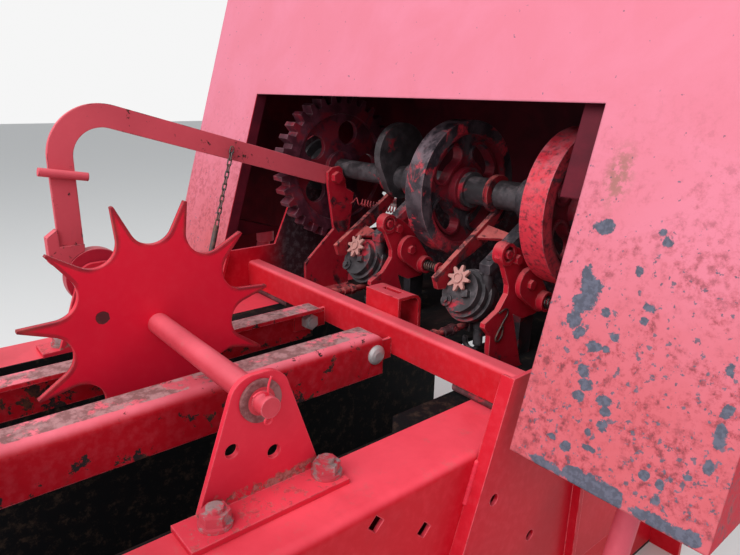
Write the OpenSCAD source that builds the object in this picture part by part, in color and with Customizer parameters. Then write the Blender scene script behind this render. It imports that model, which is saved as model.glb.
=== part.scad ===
// Tying section of a square baler: a stretch of bale chamber with its top rails,
// metering wheel, trip arm and a pair of knotters on one shaft under a lifting hood.
// Millimetres. X runs across the chamber, Y forward along it, Z up.
// The origin is on the underside of the chamber, below the rear face of the crossbar.

/* [Bale chamber] */
// Clear width between the chamber walls
bale_w = 457; // [440:1:470]
// Height of the walls' top flange above the underside
chamber_h = 380; // [360:1:400]
// Width of one box wall, inner sheet to outer sheet
wall_w = 86.5; // [82:0.5:92]
// Sheet thickness of the walls
wall_t = 5; // [4:0.5:6]
// Outer radius of the walls' folds
fold_r = 10; // [7:1:14]
// Length of the chamber behind the crossbar
rear_len = 620; // [560:10:720]
// Length of the chamber ahead of the crossbar
front_len = 420; // [410:10:430]
// Thickness of the floor plate
floor_t = 6; // [5:0.5:8]
// Width of a needle slot
slot_w = 26; // [20:1:30]
// Thickness of the cover plate under the knotters
cover_t = 6; // [5:0.5:8]

/* [Crossbar] */
// Height of the crossbar's top above the walls' flange
bar_rise = 60; // [55:1:65]
// Height of the crossbar
bar_h = 46; // [40:1:50]
// Depth of the crossbar along the chamber
bar_w = 28; // [24:1:32]
// Wall of the crossbar
bar_t = 5; // [4:0.5:6]

/* [Top rails] */
// Distance of a rail's outer face from the middle
rail_x = 90; // [86:1:96]
// Width of a rail's top leg
rail_w = 42; // [36:1:46]
// Height of a rail
rail_h = 60; // [54:1:64]
// Thickness of a rail
rail_t = 6; // [5:0.5:8]
// Outer radius of a rail's fold
rail_r = 13; // [10:1:16]
// Drop of the rails' top below the crossbar's top
rail_drop = 9; // [7:1:12]
// Length of the rails behind the crossbar
rail_len = 660; // [620:10:760]
// Radius of a rail bolt's round head
rail_bolt_r = 14; // [12:0.5:15]

/* [Side plates] */
// Distance between a wall's outer sheet and its side plate's outer face
plate_gap = 17; // [15:1:20]
// Thickness of the side plates
plate_t = 5; // [4:0.5:6]
// Lean of the side plates' rear edge from upright
plate_lean = 18.4; // [16:0.1:20]

/* [Metering wheel] */
// Distance of the wheel's shaft behind the crossbar
wheel_back = 296; // [290:1:302]
// Height of the wheel's shaft above the crossbar's top
wheel_rise = 42; // [40:1:46]
// Radius at the tips of the wheel's teeth
wheel_r = 150; // [145:1:155]
// Radius at the bottom of the gaps between the teeth
wheel_root_r = 97; // [92:1:102]
// Number of teeth
wheel_teeth = 11; // [10:1:12]
// Thickness of the wheel
wheel_t = 8; // [6:0.5:10]
// Offset of the wheel from the middle
wheel_off = -9; // [-14:1:0]
// Outer radius of the shaft's tube
tube_r = 13; // [12:0.5:14]
// Radius of the shaft's end spindles
spindle_r = 10; // [9:0.5:11]
// Radius of the measuring roller
roller_r = 44; // [42:0.5:46]
// Thickness of the shaft's brackets
bracket_t = 6; // [5:0.5:8]
// Width of a bracket's foot
bracket_foot_w = 43; // [40:1:48]

/* [Trip arm] */
// Distance of the arm's pivot ahead of the crossbar
arm_pivot_y = 136; // [134:1:137]
// Height of the arm's pivot above the crossbar's top
arm_pivot_rise = 160; // [159:1:162]
// Distance of the arm's middle plane from the middle
arm_x = 247; // [246:0.5:248]
// Thickness of the arm
arm_t = 8; // [7:0.5:9]
// Width of the arm
arm_w = 33; // [30:1:36]
// Climb of the arm's straight stretch
arm_climb = 16.1; // [15.5:0.1:16.5]
// Radius of the bend at the arm's middle line
arm_bend_r = 58; // [54:1:62]
// Distance of the arm's upright leg behind the wheel's shaft
leg_back = 29.3; // [27:0.1:32]
// Height of the leg's foot above the wheel's shaft
leg_rise = 53; // [51:1:55]

/* [Knotters] */
// Distance of the knotter shaft ahead of the crossbar
shaft_y = 173; // [172:1:176]
// Height of the knotter shaft above the crossbar's top
shaft_rise = 172; // [170:1:175]
// Radius of the knotter shaft
shaft_r = 17; // [15:0.5:17.5]
// Distance of each twine slot from the middle
twine_x = 115; // [112:1:118]
// Radius at the tips of the drive gear's teeth
gear_r = 135; // [130:1:138]
// Depth of the drive gear's teeth
gear_tooth = 15; // [12:1:18]
// Number of teeth on the drive gear
gear_teeth = 33; // [30:1:36]
// Width of the drive gear
gear_w = 28; // [24:1:30]
// Radius of a knotter's cam disc
disc_r = 103; // [98:1:106]
// Width of a cam disc's rim
disc_w = 34; // [30:1:36]
// Distance of the inner cam disc to the right of the middle
disc_in_x = 45; // [42:1:48]
// Distance of the outer cam disc to the right of the middle
disc_out_x = 250; // [246:1:254]
// Radius of the needle cam
cam_r = 92; // [86:1:95]
// Radius of the drum on each knotter
drum_r = 34; // [30:1:35]

/* [Hood] */
// Half the width of the hood
hood_half = 545; // [530:5:560]
// Sheet thickness of the hood
hood_t = 3; // [2:0.5:4]
// Height of the hood's top above the crossbar's top
hood_rise = 520; // [500:5:560]
// Drop of the hood's lower edge below the crossbar's top
hood_drop = 46; // [40:1:52]
// Rise of the rear face for each millimetre that it leans forward
hood_slope = 3.33; // [3.2:0.01:3.5]
// Distance of the rear face behind the crossbar, at the crossbar's top
hood_back = 50; // [46:1:54]
// Length of the hood ahead of the crossbar
hood_front = 440; // [435:1:445]
// Radius of the hood's top folds
hood_r = 28; // [20:1:36]
// Half the width of the hood's rear opening
window_half = 345; // [341:1:350]
// Height of the opening's top edge above the crossbar's top
window_rise = 305; // [300:1:315]

/* [Hidden] */
$fn = 64;

// Clearance at which loose pieces seat on each other
seat = 0.3;
// Radial clearance of a running fit
run = 0.05;
// Overlap of a cutting body past the face that it cuts
cut = 1;

in_x = bale_w / 2;
out_x = in_x + wall_w;
plate_x = out_x + plate_gap;
bar_top = chamber_h + bar_rise;
rail_top = bar_top - rail_drop;
wheel_z = bar_top + wheel_rise;
shaft_z = bar_top + shaft_rise;
pivot_z = bar_top + arm_pivot_rise;

// Places a flat shape of (y, z) points and gives it thickness from x0 to x1.
module along_x(x0, x1) {
    translate([x0, 0, 0])
        rotate([90, 0, 90])
            linear_extrude(x1 - x0) children();
}

// Places a flat shape of (x, z) points and gives it length from y0 to y1.
module along_y(y0, y1) {
    translate([0, y1, 0])
        rotate([90, 0, 0])
            linear_extrude(y1 - y0) children();
}

// A round bar along X.
module bar_x(x0, x1, y, z, r) {
    translate([x0, y, z])
        rotate([0, 90, 0])
            cylinder(r = r, h = x1 - x0);
}

// A round bar or cone from one point to another.
module bar_to(p, q, r1, r2) {
    d = q - p;
    translate(p)
        rotate([0, acos(d[2] / norm(d)), atan2(d[1], d[0])])
            cylinder(r1 = r1, r2 = r2, h = norm(d));
}

// A hexagonal head along X, centred on y and z.
module hex_x(x0, x1, y, z, r) {
    translate([x0, y, z])
        rotate([0, 90, 0])
            cylinder(r = r, h = x1 - x0, $fn = 6);
}

// A hexagonal head that stands up on a face.
module hex_z(x, y, z, r, h) {
    translate([x, y, z]) cylinder(r = r, h = h, $fn = 6);
}

// The left piece is the right piece mirrored.
module left() {
    mirror([1, 0, 0]) children();
}

// Bale chamber

// Half of a folded box section open at the bottom, with one rounded top corner.
module folded(w, h, r) {
    square([w - r, h]);
    square([w, h - r]);
    translate([w - r, h - r]) circle(r);
}

ledge_x = in_x - 28.5;
ledge_y0 = -99;
ledge_step = 26;
wall_holes = [[-222, -80], [-156, -120]];
hole_half = 7;

module wall() {
    difference() {
        union() {
            along_y(-rear_len, front_len)
                translate([in_x, floor_t])
                    difference() {
                        folded(wall_w, chamber_h - floor_t, fold_r);
                        translate([wall_t, -cut])
                            folded(wall_w - 2 * wall_t, chamber_h - floor_t - wall_t + cut, fold_r - wall_t);
                    }
            translate([0, 0, chamber_h - wall_t])
                linear_extrude(wall_t)
                    polygon([[in_x + wall_t, ledge_y0 - ledge_step], [in_x, ledge_y0 - ledge_step],
                        [ledge_x, ledge_y0], [ledge_x, bar_w], [in_x + wall_t, bar_w]]);
        }
        for (p = wall_holes)
            translate([out_x - wall_t - cut, p[0], bar_top + p[1]])
                rotate([45, 0, 0])
                    translate([0, -hole_half, -hole_half])
                        cube([wall_t + 2 * cut, 2 * hole_half, 2 * hole_half]);
        for (y = bracket_bolt_y)
            translate([bracket_bolt_x, y, chamber_h - wall_t - cut])
                cylinder(r = bracket_bolt_r + run, h = wall_t + 2 * cut);
        translate([tension_x, -tension_back, chamber_h - wall_t - cut])
            cylinder(r = tension_rod_r + 1, h = wall_t + 2 * cut);
    }
}

slot_y0 = 60;
slot_y1 = 260;

module needle_slots(z, t) {
    for (s = [-1, 1])
        translate([s * twine_x - slot_w / 2, slot_y0, z - cut])
            cube([slot_w, slot_y1 - slot_y0, t + 2 * cut]);
}

module chamber_floor() {
    color("firebrick")
        difference() {
            translate([-out_x, -rear_len, 0]) cube([2 * out_x, rear_len + front_len, floor_t]);
            needle_slots(0, floor_t);
        }
}

module wall_right() {
    color("firebrick") wall();
}

module wall_left() {
    color("firebrick") left() wall();
}

cover_y0 = bar_w + 6;
cover_lap = 25;

module chamber_cover() {
    color("maroon")
        difference() {
            translate([-in_x - cover_lap, cover_y0, chamber_h])
                cube([2 * (in_x + cover_lap), front_len - cover_y0 - 20, cover_t]);
            needle_slots(chamber_h, cover_t);
        }
}
cover_top = chamber_h + cover_t;

flange_t = 8;
flange_w = 50;
flange_hole_r = 7;
flange_hole_x = out_x + flange_w / 2;
flange_hole_z = [chamber_h * 0.15, chamber_h * 0.85];

module front_flange() {
    color("firebrick")
        difference() {
            along_y(front_len, front_len + flange_t)
                difference() {
                    translate([-out_x - flange_w, 0]) square([2 * (out_x + flange_w), chamber_h]);
                    translate([-in_x, floor_t]) square([bale_w, chamber_h - floor_t - 2 * fold_r]);
                }
            for (s = [-1, 1], z = flange_hole_z)
                translate([s * flange_hole_x, front_len - cut, z])
                    rotate([-90, 0, 0])
                        cylinder(r = flange_hole_r, h = flange_t + 2 * cut);
        }
}

// Crossbar

module crossbar() {
    x1 = plate_x - plate_t;
    r = bar_t + 2;
    color("crimson")
        difference() {
            along_x(-x1, x1)
                difference() {
                    translate([0, bar_top - bar_h])
                        union() {
                            square([bar_w, bar_h - r]);
                            translate([r, 0]) square([bar_w - 2 * r, bar_h]);
                            translate([r, bar_h - r]) circle(r);
                            translate([bar_w - r, bar_h - r]) circle(r);
                        }
                    translate([bar_t, bar_top - bar_h - cut])
                        square([bar_w - 2 * bar_t, bar_h - bar_t + cut]);
                }
        }
    color("crimson")
        for (s = [-1, 1])
            rail_lug(s);
}

// Round-nosed packing blocks between the crossbar and the tops of the walls.
pad_in = 28;
pad_y = 3;
pad_len = 24;

module crossbar_pad() {
    h = bar_top - bar_h - chamber_h;
    color("gray")
        along_x(in_x - pad_in, out_x - fold_r) {
            translate([pad_y + h / 2, chamber_h]) square([pad_len - h / 2, h]);
            translate([pad_y + h / 2, chamber_h + h / 2]) circle(h / 2);
        }
}

module crossbar_pads() {
    crossbar_pad();
    left() crossbar_pad();
}

// Ear on the crossbar's rear face that a rail bolts to.
rail_bolt_y = -33;
rail_bolt_drop = 28;
rail_bolt_z = rail_top - rail_bolt_drop;
lug_len = 58;
lug_h = 2 * (rail_bolt_drop - rail_r - seat);
rail_pin_r = 8;

module rail_lug(s) {
    x0 = rail_x - rail_t - rail_t;
    mirror([s < 0 ? 1 : 0, 0, 0])
        difference() {
            translate([x0, -lug_len, rail_bolt_z - lug_h / 2]) cube([rail_t, lug_len, lug_h]);
            bar_x(x0 - cut, x0 + rail_t + cut, rail_bolt_y, rail_bolt_z, rail_pin_r + run);
        }
}

// Bridge-shaped strap with a slot, on the front of the crossbar.
strap_x = 30;
strap_w = 74;
strap_t = 5;
strap_rise = 26;
strap_drop = 20;
strap_len = 46;

module crossbar_strap() {
    y0 = bar_w;
    z0 = bar_top - strap_drop;
    z1 = bar_top + strap_rise;
    r = 16;
    color("crimson")
        difference() {
            along_x(strap_x - strap_w / 2, strap_x + strap_w / 2)
                difference() {
                    union() {
                        translate([y0, z0]) square([strap_len - r, z1 - z0]);
                        translate([y0, z0]) square([strap_len, z1 - z0 - r]);
                        translate([y0 + strap_len - r, z1 - r]) circle(r);
                    }
                    translate([y0 + strap_t, z0 - cut])
                        union() {
                            square([strap_len - 2 * strap_t - (r - strap_t), z1 - z0 - strap_t + cut]);
                            square([strap_len - 2 * strap_t, z1 - z0 - r + cut]);
                            translate([strap_len - strap_t - r, z1 - z0 - r + cut]) circle(r - strap_t);
                        }
                }
            translate([strap_x - strap_w / 4, y0 + strap_len * 0.35, z1 - strap_t - cut])
                cube([strap_w / 2, 9, strap_t + 2 * cut]);
        }
    color("crimson")
        translate([strap_x - strap_w / 2, y0 + strap_len - strap_t, cover_top])
            cube([strap_w, strap_t, z0 - cover_top + cut]);
}

// Top rails

rail_end = 20;
rail_corner_r = 14;

module rail() {
    color("firebrick")
        difference() {
            along_y(-rail_len, -rail_end)
                translate([rail_x - rail_w, rail_top - rail_h])
                    difference() {
                        folded(rail_w, rail_h, rail_r);
                        translate([-cut, -cut])
                            folded(rail_w - rail_t + cut, rail_h - rail_t + cut, rail_r - rail_t);
                    }
            bar_x(rail_x - rail_t - cut, rail_x + cut, rail_bolt_y, rail_bolt_z, rail_pin_r + run);
            along_x(rail_x - rail_w - cut, rail_x + cut)
                translate([-rail_end - rail_corner_r, rail_top - rail_corner_r])
                    difference() {
                        square(rail_corner_r + cut);
                        circle(rail_corner_r);
                    }
        }
}

module rail_right() {
    rail();
}

module rail_left() {
    left() rail();
}

module rail_bolt() {
    x_in = rail_x - 2 * rail_t;
    bar_x(rail_x, rail_x + 2, rail_bolt_y, rail_bolt_z, rail_bolt_r);
    translate([rail_x + 2, rail_bolt_y, rail_bolt_z])
        rotate([0, 90, 0]) {
            cylinder(r1 = rail_bolt_r, r2 = rail_bolt_r - 3, h = 3);
            translate([0, 0, 3]) cylinder(r1 = rail_bolt_r - 3, r2 = rail_bolt_r - 8, h = 2);
        }
    bar_x(x_in - 16, rail_x + cut, rail_bolt_y, rail_bolt_z, rail_pin_r);
    hex_x(x_in - 12, x_in, rail_bolt_y, rail_bolt_z, 13);
}

module rail_bolts() {
    color("silver") rail_bolt();
    color("silver") left() rail_bolt();
}

// Metering wheel and its brackets

bracket_y0 = -wheel_back - 89;
bracket_y1 = -wheel_back + 76;
bracket_bolt_x = in_x + 22;
bracket_bolt_y = [-wheel_back - 57, -wheel_back + 63];
bracket_bolt_r = 8;
bracket_x1 = in_x + bracket_t;
bracket_foot_top = chamber_h + bracket_t;
bolt_washer_r = bracket_bolt_x - bracket_x1 - seat;
bracket_top_r = 24;
bracket_holes = [[-30, -42], [13, -59]];

module wheel_bracket() {
    color("crimson")
        difference() {
            union() {
                along_x(in_x, bracket_x1)
                    difference() {
                        hull() {
                            translate([-wheel_back - 66, chamber_h]) square([132, bracket_t]);
                            translate([-wheel_back + 8, wheel_z + 2]) circle(bracket_top_r);
                            translate([-wheel_back - 6, wheel_z + 2]) circle(bracket_top_r);
                        }
                        for (p = bracket_holes)
                            translate([-wheel_back + p[0], wheel_z + p[1]]) circle(7);
                    }
                translate([in_x, bracket_y0, chamber_h])
                    cube([bracket_foot_w, bracket_y1 - bracket_y0, bracket_t]);
            }
            bar_x(in_x - cut, bracket_x1 + cut, -wheel_back, wheel_z, spindle_r + run);
            for (y = bracket_bolt_y)
                translate([bracket_bolt_x, y, chamber_h - cut])
                    cylinder(r = bracket_bolt_r + run, h = bracket_t + 2 * cut);
            translate([bracket_bolt_x, bracket_bolt_y[1] + 10, chamber_h - cut])
                cube([9, 20, bracket_t + 2 * cut]);
        }
}

module wheel_bracket_right() {
    wheel_bracket();
}

module wheel_bracket_left() {
    left() wheel_bracket();
}

module bracket_bolt(y) {
    z = bracket_foot_top;
    translate([bracket_bolt_x, y, z])
        difference() {
            cylinder(r = bolt_washer_r, h = 4);
            translate([0, 0, -cut]) cylinder(r = bracket_bolt_r, h = 4 + 2 * cut);
        }
    hex_z(bracket_bolt_x, y, z + 4, 14, 10);
    translate([bracket_bolt_x, y, chamber_h - wall_t - 14]) cylinder(r = bracket_bolt_r, h = z + 4 - chamber_h + wall_t + 14 + 14);
    hex_z(bracket_bolt_x, y, chamber_h - wall_t - 12, 14, 12);
}

module bracket_bolts() {
    color("gray")
        for (y = bracket_bolt_y) {
            bracket_bolt(y);
            left() bracket_bolt(y);
        }
}

// Turn of the wheel as it stands, from +Y towards +Z.
wheel_turn = 7.2;
tip_half = 1.5;
gap_r = 27;

// Gap between two teeth: round at the bottom, with straight sides out to the tips.
module wheel_gap(tip_a) {
    mid = wheel_root_r + gap_r;
    tip = wheel_r * [cos(tip_a), sin(tip_a)];
    d = tip - [mid, 0];
    touch_a = atan2(d[1], d[0]) + acos(gap_r / norm(d));
    touch = [mid, 0] + gap_r * [cos(touch_a), sin(touch_a)];
    far = tip * 1.1;
    translate([mid, 0]) circle(gap_r, $fn = 48);
    polygon([touch, tip, far, [far[0], -far[1]], [tip[0], -tip[1]], [touch[0], -touch[1]]]);
}

module metering_wheel() {
    pitch = 360 / wheel_teeth;
    tip_a = pitch / 2 - asin(tip_half / wheel_r);
    color("crimson")
        translate([wheel_off - wheel_t / 2, -wheel_back, wheel_z])
            rotate([90, 0, 90])
                linear_extrude(wheel_t)
                    difference() {
                        circle(wheel_r, $fn = 128);
                        for (i = [0:wheel_teeth - 1])
                            rotate(wheel_turn + (i + 0.5) * pitch) wheel_gap(tip_a);
                        circle(spindle_r);
                    }
}

collar_t = 3;
pin_len = 14;
washer_r = 21;
roller_w = 20;
roller_x0 = -bracket_x1 - collar_t - roller_w;

module wheel_shaft() {
    inner = in_x - collar_t;
    color("crimson") {
        bar_x(-inner, wheel_off - wheel_t / 2, -wheel_back, wheel_z, tube_r);
        bar_x(wheel_off + wheel_t / 2, inner, -wheel_back, wheel_z, tube_r);
        bar_x(roller_x0 - pin_len, bracket_x1 + 6 + pin_len, -wheel_back, wheel_z, spindle_r);
    }
    color("silver")
        bar_x(bracket_x1 + seat, bracket_x1 + 4, -wheel_back, wheel_z, washer_r);
}

module measuring_roller() {
    color("firebrick")
        difference() {
            union() {
                bar_x(roller_x0, -bracket_x1 - collar_t, -wheel_back, wheel_z, roller_r);
                bar_x(roller_x0 - 8, roller_x0, -wheel_back, wheel_z, roller_r * 0.5);
            }
            bar_x(roller_x0 - 8 - cut, -bracket_x1 - collar_t + cut, -wheel_back, wheel_z, spindle_r);
            difference() {
                bar_x(roller_x0 - cut, roller_x0 + 6, -wheel_back, wheel_z, roller_r - 6);
                bar_x(roller_x0 - 2 * cut, roller_x0 + 7, -wheel_back, wheel_z, roller_r * 0.5);
            }
        }
}

// Trip arm

leg_mid_y = arm_bend_r - wheel_back - leg_back;
arm_len = (arm_pivot_y - leg_mid_y - arm_bend_r * sin(arm_climb)) / cos(arm_climb);
leg_mid = [leg_mid_y, pivot_z + arm_len * sin(arm_climb) - arm_bend_r * cos(arm_climb)];
arm_leg = leg_mid[1] - wheel_z - leg_rise;

// Points of an arc of radius r around c, from angle a0 to a1.
function arc(c, r, a0, a1, n) = [for (i = [0:n]) let (a = a0 + (a1 - a0) * i / n) c + r * [cos(a), sin(a)]];

// Outline of the arm as (y, z) points: round eye, outside of the bend, foot of the leg, inside of the bend.
function arm_outline() =
    let (h = arm_w / 2, up = 90 - arm_climb, leg = [-arm_bend_r, -arm_leg])
    concat(
        arc([arm_pivot_y, pivot_z], h, up - 180, up, 20),
        arc(leg_mid, arm_bend_r + h, up, 180, 32),
        [leg_mid + leg - [h, 0], leg_mid + leg + [h, 0]],
        arc(leg_mid, arm_bend_r - h, 180, up, 24));

pivot_pin_r = 9;
stop_r = 6;
stop_len = 64;

module trip_arm() {
    color("firebrick") {
        difference() {
            along_x(-arm_x - arm_t / 2, -arm_x + arm_t / 2) polygon(arm_outline());
            bar_x(-arm_x - arm_t, -arm_x + arm_t, arm_pivot_y, pivot_z, pivot_pin_r + run);
        }
        bar_x(-arm_x, chain_x + 3, chain_top_y, chain_z, hook_r);
        translate([-arm_x + arm_t / 2 + stop_r - 1, leg_mid[0] - arm_bend_r, leg_mid[1] - 20])
            rotate([80, 0, 0])
                translate([0, 0, -stop_len / 2])
                    cylinder(r = stop_r, h = stop_len);
    }
}

shoe_t = 16;

module trip_shoe() {
    y = leg_mid[0] - arm_bend_r;
    z = leg_mid[1] - arm_leg;
    color("firebrick")
        difference() {
            along_x(-arm_x - shoe_t / 2, -arm_x + shoe_t / 2)
                difference() {
                    polygon([[y - 32, z + 14], [y - 18, z + 24], [y - arm_w / 2 - 0.2, z + 24], [y - arm_w / 2 - 0.2, z],
                        [y + arm_w / 2, z], [y + arm_w / 2, z - 6], [y + 12, z - 30], [y - 12, z - 40], [y - 32, z - 22]]);
                    translate([-wheel_back, wheel_z]) circle(roller_r + seat);
                }
        }
}

// Chain of alternate flat and edge-on links with a pin on its end.
chain_top_y = -68;
chain_pitch = 10;
chain_links = 13;
chain_wire = 1.2;
chain_lean = 15.8;
chain_pin_len = 44;
chain_pin_r = 4.5;
chain_x = -arm_x + arm_t / 2 + 4.6;
chain_z = pivot_z + (arm_pivot_y - chain_top_y) * tan(arm_climb) + 2;
hook_r = 1.4;

module chain_link() {
    w = 2.9;
    half = (chain_pitch + 2 * chain_wire + seat) / 2 - w;
    for (s = [-1, 1]) {
        translate([s * w, 0, -half]) cylinder(r = chain_wire, h = 2 * half, $fn = 16);
        translate([0, 0, s * half])
            rotate([s * 90, 0, 0])
                rotate_extrude(angle = 180, $fn = 24)
                    translate([w, 0]) circle(chain_wire, $fn = 16);
    }
}

module trip_chain() {
    color("gray")
        translate([chain_x, chain_top_y, chain_z])
            rotate([-chain_lean, 0, 0]) translate([0, 0, hook_r]) {
                for (i = [0:chain_links - 1])
                    translate([0, 0, -(i + 0.5) * chain_pitch])
                        rotate([0, 0, 90 + i * 90])
                            chain_link();
                translate([0, 0, -chain_links * chain_pitch - chain_pin_len])
                    cylinder(r = chain_pin_r, h = chain_pin_len);
            }
}

// Bracket that carries the trip arm's pivot, standing on the cover plate.
trip_x1 = -arm_x + arm_t / 2 + 7;
trip_t = 6;
trip_foot_w = 50;
trip_foot_y0 = 66;
trip_foot_y1 = 165;
post_spot = [-125, 248, bar_top + 92];
post_spot_r = 6;

module trip_bracket() {
    z = bar_top;
    color("crimson") {
        difference() {
            along_x(trip_x1, trip_x1 + trip_t)
                polygon([[arm_pivot_y - 18, pivot_z - 14], [arm_pivot_y - 18, pivot_z + 10],
                    [arm_pivot_y - 8, pivot_z + 18], [arm_pivot_y + 8, pivot_z + 20], [arm_pivot_y + 20, pivot_z + 10],
                    [arm_pivot_y + 24, z + 138], [arm_pivot_y + 42, z + 128], [arm_pivot_y + 38, z + 100],
                    [trip_foot_y1, z + 29], [trip_foot_y1, cover_top], [trip_foot_y0, cover_top], [trip_foot_y0, z + 7],
                    [arm_pivot_y - 5, z + 63]]);
            bar_x(trip_x1 - cut, trip_x1 + trip_t + cut, shaft_y, shaft_z, shaft_r + 5);
        }
        translate([trip_x1, trip_foot_y0, cover_top]) cube([trip_foot_w, trip_foot_y1 - trip_foot_y0, 6]);
        bar_x(-arm_x - arm_t / 2 - seat, trip_x1 + cut, arm_pivot_y, pivot_z, pivot_pin_r);
        translate([post_spot[0], post_spot[1], cover_top])
            cylinder(r = post_spot_r, h = post_spot[2] - cover_top + 6);
    }
    color("gray") {
        hex_x(trip_x1 + trip_t, trip_x1 + trip_t + 9, arm_pivot_y, pivot_z, 11);
        bar_x(-arm_x - arm_t / 2 - 4, -arm_x - arm_t / 2 - seat, arm_pivot_y, pivot_z, 13);
    }
}

// Points of a ring of wire, at angle a of a coil around Z.
function coil_ring(r, wire, a, z, sides) =
    [for (j = [0:sides - 1])
        let (b = 360 * j / sides, q = r + wire * cos(b))
            [q * cos(a), q * sin(a), z + wire * sin(b)]];

// Coil spring that stands on the ground plane, h high, whose first and last turns rise by end.
module coil(r, wire, h, turns, end, steps = 14, sides = 6) {
    n = turns * steps;
    body = h - 2 * wire - 2 * end;
    rise = [for (i = [0:n])
        let (t = i / steps)
            t < 1 ? end * t : t < turns - 1 ? end + body * (t - 1) / (turns - 2) : body + end * (2 - turns + t)];
    rings = [for (i = [0:n]) coil_ring(r, wire, 360 * i / steps, wire + rise[i], sides)];
    polyhedron(
        points = [for (ring = rings, p = ring) p],
        faces = concat(
            [[for (j = [0:sides - 1]) j]],
            [for (i = [0:n - 1], j = [0:sides - 1], half = [0, 1])
                let (a = i * sides + j, b = i * sides + (j + 1) % sides)
                    half == 0 ? [a, a + sides, b + sides] : [a, b + sides, b]],
            [[for (j = [0:sides - 1]) n * sides + sides - 1 - j]]));
}

spring_hook = [trip_x1 + trip_t + 2.1, arm_pivot_y + 34, bar_top + 115];
trip_spring_r = 6;
trip_wire = 1.2;
trip_spring_turns = 18;
trip_spring_end = 18;

module trip_spring() {
    d = post_spot - [post_spot_r + seat, 0, 0] - spring_hook;
    len = norm(d);
    color("indianred")
        translate(spring_hook)
            rotate([0, acos(d[2] / len), atan2(d[1], d[0])])
                coil(trip_spring_r, trip_wire, len, trip_spring_turns, trip_spring_end, 10);
}

// Side plates with the bearings of the knotter shaft

plate_z0 = 130;
plate_top = bar_top + 25;
lean_tan = tan(plate_lean);
plate_edge_y = -48;
plate_hole_r = 7;
plate_holes = [[-65, bar_top - 116], [13, bar_top - 203]];
bearing_plate_r = 60;
hinge_y = hood_front + 12;
hinge_z = bar_top + 55;
hinge_r = 11;
hinge_boss_r = 20;

function plate_rear(z) = plate_edge_y + (z - plate_top) * lean_tan;

module side_plate() {
    y0 = plate_rear(plate_z0);
    strip_len = (plate_top - plate_z0) / cos(plate_lean);
    color("firebrick") {
        difference() {
            along_x(plate_x - plate_t, plate_x)
                union() {
                    polygon([[y0, plate_z0], [plate_edge_y, plate_top], [60, plate_top], [100, shaft_z - 60],
                        [240, shaft_z - 60], [300, plate_top], [hinge_y - 30, plate_top], [hinge_y, hinge_z],
                        [hinge_y, hinge_z - hinge_boss_r], [front_len - 30, plate_top - 120], [front_len - 30, plate_z0]]);
                    translate([shaft_y, shaft_z]) circle(bearing_plate_r);
                    polygon([[100, shaft_z - 60], [shaft_y - bearing_plate_r, shaft_z], [shaft_y + bearing_plate_r, shaft_z],
                        [240, shaft_z - 60]]);
                    translate([hinge_y, hinge_z]) circle(hinge_boss_r);
                }
            bar_x(plate_x - plate_t - cut, plate_x + cut, shaft_y, shaft_z, shaft_r + 2);
            bar_x(plate_x - plate_t - cut, plate_x + cut, hinge_y, hinge_z, hinge_r);
            for (p = plate_holes)
                bar_x(plate_x - plate_t - cut, plate_x + cut, p[0], p[1], plate_hole_r);
        }
        translate([out_x, y0, plate_z0])
            rotate([-plate_lean, 0, 0])
                cube([plate_gap, plate_t, strip_len]);
        translate([out_x, front_len - 40, plate_z0]) cube([plate_gap - plate_t, 10, chamber_h - plate_z0 - 20]);
        translate([plate_x, 100, plate_z0]) cube([12, 8, plate_top - plate_z0 - 20]);
    }
}

module side_plate_right() {
    side_plate();
}

module side_plate_left() {
    left() side_plate();
}

bearing_r = 40;
bearing_w = 26;

module shaft_bearing() {
    x1 = plate_x - plate_t;
    difference() {
        union() {
            bar_x(x1 - 8, x1, shaft_y, shaft_z, bearing_r + 10);
            bar_x(x1 - bearing_w, x1 - 8, shaft_y, shaft_z, bearing_r - 6);
        }
        bar_x(x1 - bearing_w - cut, x1 + cut, shaft_y, shaft_z, shaft_r + run);
    }
}

module shaft_bearings() {
    color("dimgray") {
        shaft_bearing();
        left() shaft_bearing();
    }
}

// Knotter shaft with its gear and cams

shaft_end = plate_x + 10;

module knotter_shaft() {
    sleeve_r = shaft_r + 4;
    gap = 4;
    color("dimgray") {
        bar_x(-shaft_end, shaft_end, shaft_y, shaft_z, shaft_r);
        for (span = [[disc_in_x + disc_w / 2, twine_x - 4 - gap], [twine_x + 4 + gap, twine_x + frame_x - gap],
                [twine_x + frame_x + frame_hub_w + gap, disc_out_x - disc_w / 2],
                [cam_x + cam_w / 2, frame_x - twine_x - gap], [frame_x + frame_hub_w - twine_x + gap, disc_in_x - disc_w / 2]])
            bar_x(span[0], span[1], shaft_y, shaft_z, sleeve_r);
        bar_x(disc_in_x + disc_w / 2, disc_in_x + disc_w / 2 + 8, shaft_y, shaft_z, shaft_r + 10);
    }
}

gear_x0 = -290;

module drive_gear() {
    pitch = 360 / gear_teeth;
    root = gear_r - gear_tooth;
    color("dimgray")
        translate([gear_x0, shaft_y, shaft_z])
            rotate([90, 0, 90])
                difference() {
                    union() {
                        linear_extrude(gear_w) {
                            difference() {
                                circle(root, $fn = 128);
                                circle(root - 20, $fn = 96);
                            }
                            for (i = [0:gear_teeth - 1])
                                rotate(i * pitch)
                                    polygon([[root - 2, -7.5], [gear_r, -4], [gear_r, 4], [root - 2, 7.5]]);
                            circle(shaft_r + 14);
                        }
                        translate([0, 0, gear_w / 2 - 5])
                            linear_extrude(10)
                                difference() {
                                    circle(root - 18, $fn = 96);
                                    for (i = [0:4])
                                        rotate(i * 72) translate([68, 0]) circle(22);
                                }
                    }
                    translate([0, 0, -cut]) cylinder(r = shaft_r, h = gear_w + 2 * cut);
                }
}

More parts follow.
